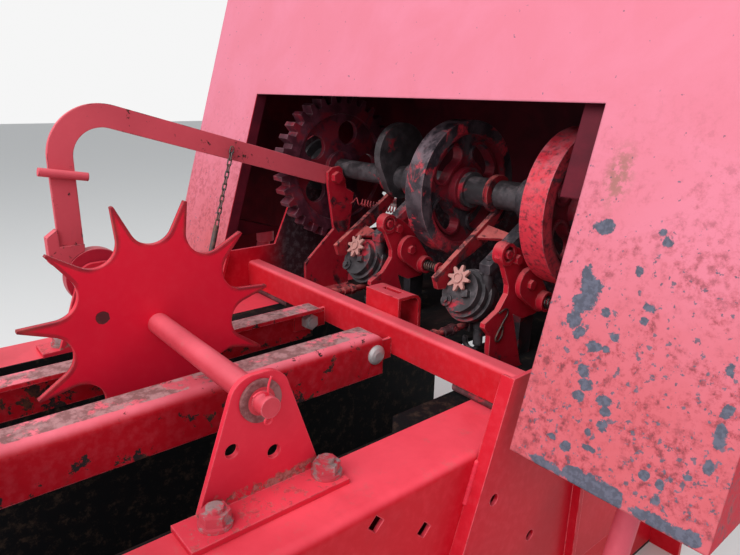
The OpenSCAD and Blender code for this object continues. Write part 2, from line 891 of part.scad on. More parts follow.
// Outline of a kidney w wide each way from the middle line at radius r, between angles -a and a.
function kidney(r, w, a) =
    concat(arc([0, 0], r + w, -a, a, 6), arc(r * [cos(a), sin(a)], w, a + 20, a + 160, 7),
        arc([0, 0], r - w, a, -a, 4), arc(r * [cos(a), -sin(a)], w, 200 - a, 340 - a, 7));

kidneys = 4;
kidney_w = 14;
kidney_a = 18;

// Cam disc with a heavy rim, a hub and a web with kidney-shaped openings, each in a raised lip.
module cam_disc(x) {
    web = 10;
    lip = 4;
    rim = 20;
    mid_r = (disc_r - rim + shaft_r + 16) / 2;
    color("firebrick")
        translate([x - disc_w / 2, shaft_y, shaft_z])
            rotate([90, 0, 90])
                difference() {
                    union() {
                        linear_extrude(disc_w) {
                            difference() {
                                circle(disc_r, $fn = 128);
                                circle(disc_r - rim, $fn = 96);
                            }
                            circle(shaft_r + 16);
                        }
                        translate([0, 0, disc_w / 2 - web / 2])
                            linear_extrude(web) circle(disc_r - rim + 2, $fn = 96);
                        for (i = [0:kidneys - 1])
                            rotate(i * 360 / kidneys + 45)
                                translate([0, 0, disc_w / 2 - web / 2 - lip])
                                    linear_extrude(web + 2 * lip) polygon(kidney(mid_r, kidney_w + lip, kidney_a));
                    }
                    for (i = [0:kidneys - 1])
                        rotate(i * 360 / kidneys + 45)
                            translate([0, 0, -cut])
                                linear_extrude(disc_w + 2 * cut) polygon(kidney(mid_r, kidney_w, kidney_a));
                    translate([0, 0, -cut]) cylinder(r = shaft_r, h = disc_w + 2 * cut);
                }
}

module cam_disc_left() {
    cam_disc(disc_in_x);
}

module cam_disc_right() {
    cam_disc(disc_out_x);
}

cam_x = -97;
cam_w = 14;

module needle_cam() {
    color("dimgray")
        translate([cam_x - cam_w / 2, shaft_y, shaft_z])
            rotate([90, 0, 90])
                difference() {
                    linear_extrude(cam_w)
                        hull() {
                            translate([0, 40]) circle(cam_r - 40, $fn = 96);
                            circle(shaft_r + 18);
                        }
                    translate([0, 0, -cut]) cylinder(r = shaft_r, h = cam_w + 2 * cut);
                }
}

// Knotters. Each hangs on the shaft ahead of the crossbar, k to the right of the middle.

frame_hub_w = 26;
frame_x = 55;
stay_half = 4;
// Foot of the toothed wheel, and the lean of its axis and the drum's from upright
star_at = [24, 76.5, bar_top + 65.5];
drum_tilt = 63;
drum_drop = 16;
drum_lip = 8;
drum_end = 58;
// Steps of the drum's bands from its radius, from the rear
band_steps = [-4, 1, 5, 2, -1];
band_gap = 1.5;
// Lower rear corner of the frame's arm where it meets the post on the drum, and of its head at the hub
arm_foot = [42, 94, bar_top + 76];
arm_foot_size = [18, 18, 13];
arm_head = [56, 158, bar_top + 128];
arm_head_size = [20, 20, 15];
drum_post = [50, 104];
drum_post_r = 8;
bill_at = [37, 108];
bill_top = bar_top - 12;
stay_slope = 33.3;
rib_t = 5;

module on_drum(k) {
    translate([k + star_at[0], star_at[1], star_at[2]])
        rotate([drum_tilt, 0, 0]) children();
}

// Cast frame: a hub on the shaft, a skewed arm down to the drum and a leg to the cover.
module knotter_frame(k, rib) {
    hub_r = shaft_r + 13;
    x0 = k + frame_x;
    color("dimgray")
        difference() {
            union() {
                bar_x(x0, x0 + frame_hub_w, shaft_y, shaft_z, hub_r);
                hull() {
                    translate([k, 0, 0] + arm_foot) cube(arm_foot_size);
                    translate([k, 0, 0] + arm_head) cube(arm_head_size);
                }
                along_x(x0 + 5, x0 + frame_hub_w - 5)
                    polygon([[shaft_y - 16, shaft_z - 20], [shaft_y - 24, shaft_z - 60], [shaft_y - 20, cover_top],
                        [shaft_y + 8, cover_top], [shaft_y + 12, shaft_z - 60], [shaft_y + 20, shaft_z - 16]]);
                for (f = [0.1, 0.8])
                    translate([k, 0, 0] + arm_foot + f * (arm_head - arm_foot) + [9, 8, 7])
                        rotate([stay_slope, 0, 0]) cylinder(r = 5.5, h = 12, $fn = 6);
            }
            bar_x(x0 - cut, x0 + frame_hub_w + cut, shaft_y, shaft_z, shaft_r + run);
            stay_rib(k, rib, seat);
        }
}

// Cross rib from the stay to the frame's arm: rib is its end's x, its y and z; it is cut out with room of grow.
module stay_rib(k, rib, grow) {
    translate([k, rib[1], rib[2]])
        rotate([stay_slope, 0, 0])
            translate([0, 0, -grow])
                linear_extrude(rib_t + 2 * grow)
                    polygon([[stay_half - 1, -16 - grow], [rib[0] + grow, -4 - grow], [rib[0] + grow, 4 + grow],
                        [stay_half - 1, 12 + grow]]);
}

rib_left = [arm_foot[0] - seat, 104, bar_top + 83];
rib_right = [arm_foot[0] + 18, 146, bar_top + 118];

module knotter_frame_left() {
    knotter_frame(-twine_x, rib_left - [2 * seat, 0, 0]);
}

module knotter_frame_right() {
    knotter_frame(twine_x, rib_right);
}

rod_x = 23;
rod_z = bar_top - 8;
rod_end_y = 97;

// Wedge-shaped stay from a blunt nose up to a ring on the shaft, and the rod that ties the drum to the crossbar.
module knotter_stay(k, rib) {
    ring_r = shaft_r + 11;
    color("crimson")
        difference() {
            union() {
                along_x(k - stay_half, k + stay_half)
                    polygon([[48, bar_top + 66.5], [shaft_y - 6, shaft_z - 27], [shaft_y + 15, shaft_z - 22],
                        [150, bar_top + 104], [124, bar_top + 91], [92, bar_top + 79], [69, bar_top + 47],
                        [54, bar_top + 49]]);
                bar_x(k - stay_half, k + stay_half, shaft_y, shaft_z, ring_r);
                stay_rib(k, rib, 0);
            }
            bar_x(k - stay_half - cut, k + stay_half + cut, shaft_y, shaft_z, shaft_r + run);
        }
    color("firebrick")
        translate([k + rod_x, bar_w, rod_z])
            rotate([-90, 0, 0]) {
                cylinder(r = 5, h = rod_end_y - seat - bar_w);
                cylinder(r = 8.5, h = 7, $fn = 6);
                translate([0, 0, 20]) cylinder(r = 7, h = 11);
                translate([0, 0, 34]) cylinder(r = 8.5, h = 9, $fn = 6);
            }
}

module knotter_stay_left() {
    knotter_stay(-twine_x, rib_left);
}

module knotter_stay_right() {
    knotter_stay(twine_x, rib_right);
}

// Banded drum with a boss and a block on its rear face, its post up to the frame's arm and its lug for the rod.
module twine_drum(k) {
    band = (drum_end - drum_lip) / len(band_steps);
    color("dimgray") {
        on_drum(k) {
            translate([0, -drum_drop, -drum_end]) cylinder(r = drum_r - 8, h = drum_end - drum_lip - cut);
            for (i = [0:len(band_steps) - 1])
                translate([0, -drum_drop, -drum_lip - (i + 1) * band])
                    cylinder(r = drum_r + band_steps[i], h = band - (i == 0 ? 0 : band_gap));
            translate([-14, -drum_drop - 18, -drum_lip - cut]) cylinder(r = 9, h = 5);
            translate([-14, -drum_drop - 18, -drum_lip + 3]) cylinder(r = 5, h = 5, $fn = 6);
            translate([12, -drum_drop - 8, -drum_lip - cut]) rotate(20) cube([10, 10, drum_lip + cut - seat]);
        }
        translate([k + drum_post[0], drum_post[1], bar_top + 40])
            cylinder(r = drum_post_r, h = arm_foot[2] - bar_top - 40 - seat);
        translate([k + bill_at[0], bill_at[1], bill_top]) cylinder(r = drum_post_r, h = 36);
        translate([k + rod_x - 6, rod_end_y, rod_z - 9]) cube([12, 14, 24]);
    }
}

module twine_drum_left() {
    twine_drum(-twine_x);
}

module twine_drum_right() {
    twine_drum(twine_x);
}

star_r = 19;
star_t = 5;
star_teeth = 8;
star_rim_r = 11;

// Toothed wheel that faces back and up from the drum, with a dished hub.
module twine_star(k) {
    color("tan")
        on_drum(k)
            difference() {
                union() {
                    linear_extrude(star_t) {
                        circle(star_rim_r);
                        for (i = [0:star_teeth - 1])
                            rotate(i * 360 / star_teeth)
                                polygon([[star_rim_r - 1, -3.4], [star_r - 2, -2], [star_r, -1.2], [star_r, 1.2],
                                    [star_r - 2, 2.4], [star_rim_r - 1, 3.4]]);
                    }
                    cylinder(r = 8, h = star_t + 3);
                    translate([0, 0, -drum_lip + seat]) cylinder(r = 6, h = drum_lip);
                }
                translate([0, 0, star_t + 1]) cylinder(r = 5.5, h = 3);
            }
}

module twine_star_left() {
    twine_star(-twine_x);
}

module twine_star_right() {
    twine_star(twine_x);
}

// Billhook: a spindle below the drum with a hooked jaw.
bill_len = 24;

module billhook(k) {
    jaw_r = 12;
    translate([k + bill_at[0], bill_at[1], bill_top - seat - bill_len])
        color("gray") {
            cylinder(r = 7, h = bill_len);
            translate([-jaw_r, 0, 0])
                rotate([90, 0, 0])
                    rotate_extrude(angle = -200)
                        translate([jaw_r, 0]) circle(4, $fn = 24);
        }
}

module billhook_left() {
    billhook(-twine_x);
}

module billhook_right() {
    billhook(twine_x);
}

breast_x = 90;
breast_t = 8;
// The plate's eye, the pin of the lever beside it and the spring's cup on that lever, as (y, z)
eye_at = [80, bar_top + 116];
lever_at = [116, bar_top + 72];
cup_at = [145, bar_top + 44];
lever_gap = 6;
lever_t = 8;
lever_r = 22;
cup_r = 14;
cup_t = 4;
breast_pin_r = 5;
breast_spring_len = 34;

function lever_outline() =
    let(d = cup_at - lever_at, a = atan2(d[1], d[0]), end_r = cup_r + 2, b = acos((lever_r - end_r) / norm(d)))
        concat(arc(lever_at, lever_r, a + b, a + 360 - b, 24), arc(cup_at, end_r, a - b, a + b, 14));

// Arched breast plate with its eye, and the lever on it whose cup holds a spring on a pin.
module breast_plate(k) {
    x0 = k + breast_x;
    x1 = x0 + breast_t;
    x2 = x1 + lever_gap;
    x3 = x2 + lever_t;
    z = bar_top;
    color("crimson") {
        difference() {
            union() {
                along_x(x0, x1)
                    polygon([[58, cover_top], [135, cover_top], [129, z - 49], [114, z - 5], [103, z + 29],
                        [125, z + 18], [154, z + 19], [176, z + 33], [135, z + 96], [117, z + 113], [104, z + 121],
                        [80, z + 128], [67, z + 123], [64, z + 112], [76, z + 98], [88, z + 72], [88, z + 60],
                        [72, z + 40], [46, z + 28], [45, z + 22], [58, z + 8]]);
                bar_x(x0 - 5, x1 + 3, eye_at[0], eye_at[1], 15);
            }
            bar_x(x1 - 2, x1 + 3 + cut, eye_at[0], eye_at[1], 10);
            bar_x(x0 - cut, x1 + cut, 158, z + 38, 7);
        }
        bar_x(x1 - 3, x1 + 5, eye_at[0], eye_at[1], 6);
        bar_x(x1 - cut, x2 + cut, lever_at[0], lever_at[1], 10);
        difference() {
            union() {
                along_x(x2, x3) polygon(lever_outline());
                bar_x(x3, x3 + 10, cup_at[0], cup_at[1], cup_r);
            }
            bar_x(x3 + 1, x3 + 10 + cut, cup_at[0], cup_at[1], cup_r - cup_t);
        }
        bar_x(x3, x3 + breast_spring_len + 8, cup_at[0], cup_at[1], breast_pin_r);
        bar_x(x3 + 1 + breast_spring_len + seat, x3 + breast_spring_len + 5, cup_at[0], cup_at[1], 10);
    }
    color("gray") {
        hex_x(x3, x3 + 5, lever_at[0], lever_at[1], 7);
        hex_x(x1, x1 + 6, 100, z + 106, 7);
    }
}

module breast_plate_left() {
    breast_plate(-twine_x);
}

module breast_plate_right() {
    breast_plate(twine_x);
}

module breast_spring(k) {
    wire = 1.6;
    x0 = k + breast_x + breast_t + lever_gap + lever_t + 1;
    color("gray")
        translate([x0, cup_at[0], cup_at[1]])
            rotate([0, 90, 0])
                coil(breast_pin_r + seat + wire, wire, breast_spring_len, 7, 2 * wire + seat, 12);
}

module breast_spring_left() {
    breast_spring(-twine_x);
}

module breast_spring_right() {
    breast_spring(twine_x);
}

// Rail tension at the chamber's rear end

tension_back = 560;
tension_x = in_x + wall_w / 2;
tension_rod_r = 8;
yoke_h = 40;
yoke_w = 50;
yoke_t = 5;
spring_h = 90;
spring_r = 22;

module tension_yoke() {
    z0 = rail_top;
    x1 = tension_x + 30;
    color("firebrick")
        difference() {
            translate([-x1, -tension_back - yoke_w / 2, z0]) cube([2 * x1, yoke_w, yoke_h]);
            translate([-x1 - cut, -tension_back - yoke_w / 2 + yoke_t, z0 + yoke_t])
                cube([2 * x1 + 2 * cut, yoke_w - 2 * yoke_t, yoke_h - 2 * yoke_t]);
            for (s = [-1, 1])
                translate([s * tension_x, -tension_back, z0 - cut])
                    cylinder(r = tension_rod_r + 1, h = yoke_h + 2 * cut);
        }
}

module tension_springs() {
    z0 = rail_top + yoke_h;
    wire = 4;
    color("firebrick")
        for (s = [-1, 1])
            translate([s * tension_x, -tension_back, z0])
                coil(spring_r - wire, wire, spring_h, 7, 2 * wire + seat);
}

module tension_cranks() {
    z1 = rail_top + yoke_h + spring_h;
    color("gray")
        for (s = [-1, 1])
            translate([s * tension_x, -tension_back, 0]) {
                translate([0, 0, chamber_h - wall_t - 24]) cylinder(r = tension_rod_r, h = z1 + 50 - chamber_h + wall_t + 24);
                translate([0, 0, chamber_h - wall_t - 16]) cylinder(r = 15, h = 16, $fn = 6);
                translate([0, 0, z1]) cylinder(r = spring_r + 3, h = 5);
                translate([0, 0, z1 + 5]) cylinder(r = 16, h = 18, $fn = 6);
                bar_to([0, 0, z1 + 50], [0, -110, z1 + 62], 7, 7);
                translate([0, -110, z1 + 62]) cylinder(r = 11, h = 70);
            }
}

// Hood and what carries it

hood_lean = atan(1 / hood_slope);
hood_z0 = bar_top - hood_drop;
hood_top = bar_top + hood_rise;
hood_lip = hinge_z + 27;
hood_step_y = 300;

function hood_rear(z) = -hood_back + (z - bar_top) / hood_slope;

// Side view of the hood, drawn in by t, with its lower edge let down by d.
module hood_side(t, d) {
    rear = t / cos(hood_lean);
    zc = hood_top - hood_r;
    hull() {
        polygon([[hood_rear(hood_z0 - d) + rear, hood_z0 - d], [hood_front - t, hood_lip],
            [hood_rear(zc) + hood_r / cos(hood_lean), zc]]);
        translate([hood_rear(zc) + hood_r / cos(hood_lean), zc]) circle(hood_r - t);
        translate([hood_front - hood_r, zc]) circle(hood_r - t);
    }
    polygon([[hood_rear(hood_z0 - d) + rear, hood_z0 - d], [hood_step_y, hood_z0 - d], [hood_front - t, hood_lip - d],
        [hood_front - t, hood_lip + 10], [hood_rear(zc) + hood_r / cos(hood_lean), zc]]);
}

lug_x = hood_half - 60;
lug_t = 8;
window_top = bar_top + window_rise;
window_fold = 22;
// Fold at the opening's right edge: how far back it goes, how wide it turns inward and how far down it runs
return_back = 14;
return_w = 31;
return_h = 96;

// Inward fold of sheet along an upright edge of the opening, deep[0] at its foot and deep[1] at its top.
module window_edge(x0, z0, deep) {
    along_x(x0, x0 + hood_t)
        polygon([[hood_rear(z0) + cut, z0], [hood_rear(z0) + deep[0], z0], [hood_rear(window_top) + deep[1], window_top],
            [hood_rear(window_top) + cut, window_top]]);
}

// Stiffening fold that goes back from the edge and then turns into the opening, from z0 up.
module window_return(z0) {
    back = return_back + hood_t;
    window_edge(window_half, z0, [back, back]);
    along_x(window_half - return_w, window_half + hood_t)
        polygon([[hood_rear(z0) + return_back, z0], [hood_rear(z0) + back, z0],
            [hood_rear(window_top) + back, window_top], [hood_rear(window_top) + return_back, window_top]]);
}

module hood_lug() {
    difference() {
        along_x(lug_x, lug_x + lug_t)
            hull() {
                translate([hinge_y, hinge_z]) circle(hinge_boss_r);
                translate([hood_front - 1, hood_lip]) square([1, 40]);
            }
        bar_x(lug_x - cut, lug_x + lug_t + cut, hinge_y, hinge_z, hinge_r + run);
    }
}

module hood() {
    color("indianred") {
        difference() {
            along_x(-hood_half, hood_half) hood_side(0, 0);
            along_x(-hood_half + hood_t, hood_half - hood_t) hood_side(hood_t, 100);
            translate([-window_half, hood_rear(hood_z0) - cut, hood_z0 - cut])
                cube([2 * window_half, hood_rear(window_top) - hood_rear(hood_z0) + 12, hood_drop + window_rise + cut]);
        }
        window_edge(-window_half - hood_t, hood_z0, [window_fold, window_fold]);
        window_return(window_top - return_h);
        hood_lug();
        left() hood_lug();
        for (s = [-1, 1])
            along_x(s * post_x - 20, s * post_x + 20)
                polygon([[hood_rear(rest_z + 50) + 2, rest_z + 50], [hood_rear(rest_z) + 2, rest_z],
                    [post_top_y + 20, rest_z], [post_top_y + 20, rest_z + 5]]);
    }
}

post_x = 430;
post_r = 13;
post_low_z = 120;
rest_z = bar_top + 30;
post_top_y = 44 + (rest_z - (bar_top - 131)) * lean_tan;
post_low_y = post_top_y - (rest_z - post_low_z) * lean_tan;

module hood_post() {
    beam = 40;
    color("firebrick") {
        bar_to([post_x, post_low_y, post_low_z - 5], [post_x, post_top_y, rest_z - 14], post_r, post_r);
        translate([out_x, post_low_y - beam / 2, post_low_z - 34]) cube([post_x - out_x + 20, beam, 34]);
    }
    color("black")
        translate([post_x, post_top_y, rest_z - 22]) cylinder(r = 18, h = 22 - seat);
}

module hood_posts() {
    hood_post();
    left() hood_post();
}

module hinge_rod() {
    color("gray") bar_x(-lug_x - lug_t - 10, lug_x + lug_t + 10, hinge_y, hinge_z, hinge_r);
}

chamber_floor();
wall_left();
wall_right();
chamber_cover();
front_flange();
side_plate_left();
side_plate_right();
crossbar();
crossbar_pads();
crossbar_strap();
rail_left();
rail_right();
rail_bolts();
wheel_bracket_left();
wheel_bracket_right();
bracket_bolts();
tension_yoke();
tension_springs();
tension_cranks();
trip_bracket();
trip_spring();
shaft_bearings();
knotter_frame_left();
knotter_frame_right();
knotter_stay_left();
knotter_stay_right();
twine_drum_left();
twine_drum_right();
twine_star_left();
twine_star_right();
billhook_left();
billhook_right();
breast_plate_left();
breast_plate_right();
breast_spring_left();
breast_spring_right();
hood_posts();
hinge_rod();
metering_wheel();
wheel_shaft();
measuring_roller();
trip_arm();
trip_shoe();
trip_chain();
knotter_shaft();
drive_gear();
cam_disc_left();
cam_disc_right();
needle_cam();
hood();
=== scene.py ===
"""Looks of the tying section of a square baler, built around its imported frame.

Metres, in the frame's own axes: X across the chamber, Y forward, Z up.
"""
import math
import random

import bmesh
import bpy
from mathutils import Matrix, Vector


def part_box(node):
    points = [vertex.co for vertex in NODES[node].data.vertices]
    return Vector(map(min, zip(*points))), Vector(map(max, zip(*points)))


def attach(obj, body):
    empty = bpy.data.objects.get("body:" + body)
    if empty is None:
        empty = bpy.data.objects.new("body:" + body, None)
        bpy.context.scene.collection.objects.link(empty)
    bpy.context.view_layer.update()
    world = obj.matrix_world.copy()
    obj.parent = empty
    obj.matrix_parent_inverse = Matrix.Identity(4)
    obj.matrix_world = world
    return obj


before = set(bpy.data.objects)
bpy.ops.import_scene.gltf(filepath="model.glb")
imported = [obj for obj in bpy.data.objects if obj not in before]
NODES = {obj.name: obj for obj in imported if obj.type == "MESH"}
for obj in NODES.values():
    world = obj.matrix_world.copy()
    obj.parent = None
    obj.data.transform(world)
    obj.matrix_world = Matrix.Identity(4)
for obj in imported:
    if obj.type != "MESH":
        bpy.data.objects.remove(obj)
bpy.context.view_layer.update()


# Camera, floor and light

CAMERA_AT = (0.6791, -0.5404, 0.7516)
CAMERA_RIGHT = (0.6385, 0.7690, 0.0176)
CAMERA_UP = (-0.2345, 0.1728, 0.9563)
CAMERA_BACK = (0.7331, -0.6143, 0.2907)
LENS = 29.61
SENSOR_WIDTH = 36
NEAREST_SEEN = 0.01


def make_camera():
    data = bpy.data.cameras.new("camera")
    data.lens = LENS
    data.sensor_width = SENSOR_WIDTH
    data.clip_start = NEAREST_SEEN
    camera = bpy.data.objects.new("camera", data)
    turn = Matrix((CAMERA_RIGHT, CAMERA_UP, CAMERA_BACK)).transposed().to_quaternion()
    camera.matrix_world = Matrix.Translation(CAMERA_AT) @ turn.to_matrix().to_4x4()
    bpy.context.collection.objects.link(camera)
    bpy.context.scene.camera = camera


def area_light(name, at, towards, size, power):
    data = bpy.data.lights.new(name, "AREA")
    data.shape = "RECTANGLE"
    data.size, data.size_y = size
    data.energy = power
    light = bpy.data.objects.new(name, data)
    aim = (Vector(towards) - Vector(at)).to_track_quat("-Z", "Y")
    light.matrix_world = Matrix.Translation(at) @ aim.to_matrix().to_4x4()
    bpy.context.collection.objects.link(light)


FLOOR_COLOUR = (0.8, 0.8, 0.79)
FLOOR_ROUGH = 0.8
FLOOR_REACH = 14
SKY_COLOUR = (0.93, 0.96, 1)
WHITE = (1, 1, 1)
# Strength of the world as light, and as the background that the camera and gloss show
WORLD_LIGHT = 0.5
WORLD_SHOWN = 0.92
# Name, place, point it faces, size and watts
LIGHTS = [
    ("overhead", (0.4, -2.4, 2.6), (0, 0.1, 0.5), (2.6, 2.6), 105),
    ("right_fill", (3.0, -0.6, 1.6), (0, 0, 0.5), (2.0, 2.0), 12),
    ("front_fill", (0.8, 3.0, 2.2), (0, 0.2, 0.5), (2.4, 2.4), 32),
]


def make_floor():
    mesh = bpy.data.meshes.new("floor")
    corners = [(x * FLOOR_REACH, y * FLOOR_REACH, 0) for x, y in ((-1, -1), (1, -1), (1, 1), (-1, 1))]
    mesh.from_pydata(corners, [], [(0, 1, 2, 3)])
    floor = bpy.data.objects.new("floor", mesh)
    bpy.context.collection.objects.link(floor)
    material = bpy.data.materials.new("floor")
    material.use_nodes = True
    shader = material.node_tree.nodes["Principled BSDF"]
    shader.inputs["Base Color"].default_value = (*FLOOR_COLOUR, 1)
    shader.inputs["Roughness"].default_value = FLOOR_ROUGH
    mesh.materials.append(material)


def background(tree, colour, strength):
    node = tree.nodes.new("ShaderNodeBackground")
    node.inputs["Color"].default_value = (*colour, 1)
    node.inputs["Strength"].default_value = strength
    return node.outputs[0]


def make_world():
    """Dim sky as light, and a bright plain one where the camera or a reflection sees it."""
    world = bpy.data.worlds.new("studio")
    world.use_nodes = True
    tree = world.node_tree
    tree.nodes.clear()
    path = tree.nodes.new("ShaderNodeLightPath")
    shown = tree.nodes.new("ShaderNodeMath")
    shown.operation = "MAXIMUM"
    tree.links.new(path.outputs["Is Camera Ray"], shown.inputs[0])
    tree.links.new(path.outputs["Is Glossy Ray"], shown.inputs[1])
    mix = tree.nodes.new("ShaderNodeMixShader")
    tree.links.new(shown.outputs[0], mix.inputs[0])
    tree.links.new(background(tree, SKY_COLOUR, WORLD_LIGHT), mix.inputs[1])
    tree.links.new(background(tree, WHITE, WORLD_SHOWN), mix.inputs[2])
    out = tree.nodes.new("ShaderNodeOutputWorld")
    tree.links.new(mix.outputs[0], out.inputs[0])
    bpy.context.scene.world = world


# Materials


class Nodes:
    """Builds one material's nodes; every input takes a socket or a plain value."""

    def __init__(self, name):
        self.material = bpy.data.materials.new(name)
        self.material.use_nodes = True
        self.tree = self.material.node_tree
        self.shader = self.tree.nodes["Principled BSDF"]
        self.place = self.tree.nodes.new("ShaderNodeTexCoord").outputs["Object"]
        self.bevels = {}

    def put(self, socket, value):
        if isinstance(value, bpy.types.NodeSocket):
            self.tree.links.new(value, socket)
        elif isinstance(value, (tuple, list)) and len(value) == 3 and socket.type == "RGBA":
            socket.default_value = (*value, 1)
        else:
            socket.default_value = value

    def noise(self, scale, detail=4, rough=0.55, warp=0.0, stretch=None, shift=(0, 0, 0)):
        where = self.place
        if stretch or any(shift):
            mapping = self.tree.nodes.new("ShaderNodeMapping")
            mapping.inputs["Scale"].default_value = stretch or (1, 1, 1)
            mapping.inputs["Location"].default_value = shift
            self.tree.links.new(where, mapping.inputs["Vector"])
            where = mapping.outputs[0]
        node = self.tree.nodes.new("ShaderNodeTexNoise")
        self.tree.links.new(where, node.inputs["Vector"])
        node.inputs["Scale"].default_value = scale
        node.inputs["Detail"].default_value = detail
        node.inputs["Roughness"].default_value = rough
        node.inputs["Distortion"].default_value = warp
        return node.outputs["Fac"]

    def times(self, a, b, *more):
        out = self.math("MULTIPLY", a, b)
        for value in more:
            out = self.math("MULTIPLY", out, value)
        return out

    def most(self, a, *more):
        for value in more:
            a = self.math("MAXIMUM", a, value)
        return a

    def math(self, operation, a, b=0.0, clamp=False):
        node = self.tree.nodes.new("ShaderNodeMath")
        node.operation = operation
        node.use_clamp = clamp
        self.put(node.inputs[0], a)
        self.put(node.inputs[1], b)
        return node.outputs[0]

    def step(self, value, low, high):
        """0 below low, 1 above high, smooth between; it falls where low is above high."""
        node = self.tree.nodes.new("ShaderNodeMapRange")
        node.interpolation_type = "SMOOTHSTEP"
        self.put(node.inputs["Value"], value)
        flip = low > high
        node.inputs["From Min"].default_value = min(low, high)
        node.inputs["From Max"].default_value = max(low, high)
        node.inputs["To Min"].default_value = 1.0 if flip else 0.0
        node.inputs["To Max"].default_value = 0.0 if flip else 1.0
        return node.outputs["Result"]

    def mix(self, share, a, b):
        node = self.tree.nodes.new("ShaderNodeMix")
        node.data_type = "RGBA"
        self.put(node.inputs["Factor"], share)
        self.put(node.inputs[6], a)
        self.put(node.inputs[7], b)
        return node.outputs[2]

    def blend(self, share, a, b):
        node = self.tree.nodes.new("ShaderNodeMix")
        node.data_type = "FLOAT"
        self.put(node.inputs["Factor"], share)
        self.put(node.inputs[2], a)
        self.put(node.inputs[3], b)
        return node.outputs[0]

    def axes(self, what="Object"):
        """X, Y and Z of the object's own coordinates, or of its own normal."""
        node = self.tree.nodes.new("ShaderNodeTexCoord")
        split = self.tree.nodes.new("ShaderNodeSeparateXYZ")
        self.tree.links.new(node.outputs[what], split.inputs[0])
        return split.outputs

    def from_axis(self, axes, centre):
        """Distance from the line along X through centre, given as y and z."""
        y = self.math("SUBTRACT", axes[1], centre[0])
        z = self.math("SUBTRACT", axes[2], centre[1])
        return self.math("SQRT", self.math("ADD", self.times(y, y), self.times(z, z)))

    def near(self, centre, half_axes, core):
        """1 within the share core of an ellipsoid's half-axes, falling to 0 at its surface."""
        mapping = self.tree.nodes.new("ShaderNodeMapping")
        mapping.vector_type = "TEXTURE"
        mapping.inputs["Location"].default_value = centre
        mapping.inputs["Scale"].default_value = half_axes
        self.tree.links.new(self.place, mapping.inputs["Vector"])
        length = self.tree.nodes.new("ShaderNodeVectorMath")
        length.operation = "LENGTH"
        self.tree.links.new(mapping.outputs[0], length.inputs[0])
        return self.step(length.outputs["Value"], 1.0, core)

    def rounded(self, radius):
        """Normal of the surface with its edges rounded by radius; one node for each radius."""
        if radius not in self.bevels:
            bevel = self.tree.nodes.new("ShaderNodeBevel")
            bevel.samples = 4
            bevel.inputs["Radius"].default_value = radius
            self.bevels[radius] = bevel.outputs[0]
        return self.bevels[radius]

    def edges(self, radius, low=0.999, high=0.88):
        """1 along sharp edges, from the difference that rounding them by radius makes."""
        flat = self.tree.nodes.new("ShaderNodeNewGeometry")
        dot = self.tree.nodes.new("ShaderNodeVectorMath")
        dot.operation = "DOT_PRODUCT"
        self.tree.links.new(self.rounded(radius), dot.inputs[0])
        self.tree.links.new(flat.outputs["Normal"], dot.inputs[1])
        return self.step(dot.outputs["Value"], low, high)

    def bump(self, height, distance, strength, normal=None):
        node = self.tree.nodes.new("ShaderNodeBump")
        node.inputs["Strength"].default_value = strength
        node.inputs["Distance"].default_value = distance
        self.put(node.inputs["Height"], height)
        if normal is not None:
            self.tree.links.new(normal, node.inputs["Normal"])
        return node.outputs[0]

    def finish(self, colour, rough, metal=0.0, normal=None, specular=0.5, coat=0.0, coat_rough=0.2):
        self.put(self.shader.inputs["Base Color"], colour)
        self.put(self.shader.inputs["Roughness"], rough)
        self.put(self.shader.inputs["Metallic"], metal)
        self.shader.inputs["Specular IOR Level"].default_value = specular
        self.shader.inputs["Coat Weight"].default_value = coat
        self.shader.inputs["Coat Roughness"].default_value = coat_rough
        if normal is not None:
            self.tree.links.new(normal, self.shader.inputs["Normal"])
        return self.material


RUST_DARK = (0.030, 0.022, 0.024)
RUST_BROWN = (0.13, 0.05, 0.032)
OLD_DUST = (0.36, 0.19, 0.16)
BLACK = (0.004, 0.004, 0.005)
STAIN = (0.11, 0.03, 0.03)
OIL_DARK = (0.016, 0.012, 0.016)
OIL_PALE = (0.06, 0.045, 0.052)
PAINT_BEVEL = 0.002
PAINT_SPECULAR = 0.12
PAINT_COAT = 0.04


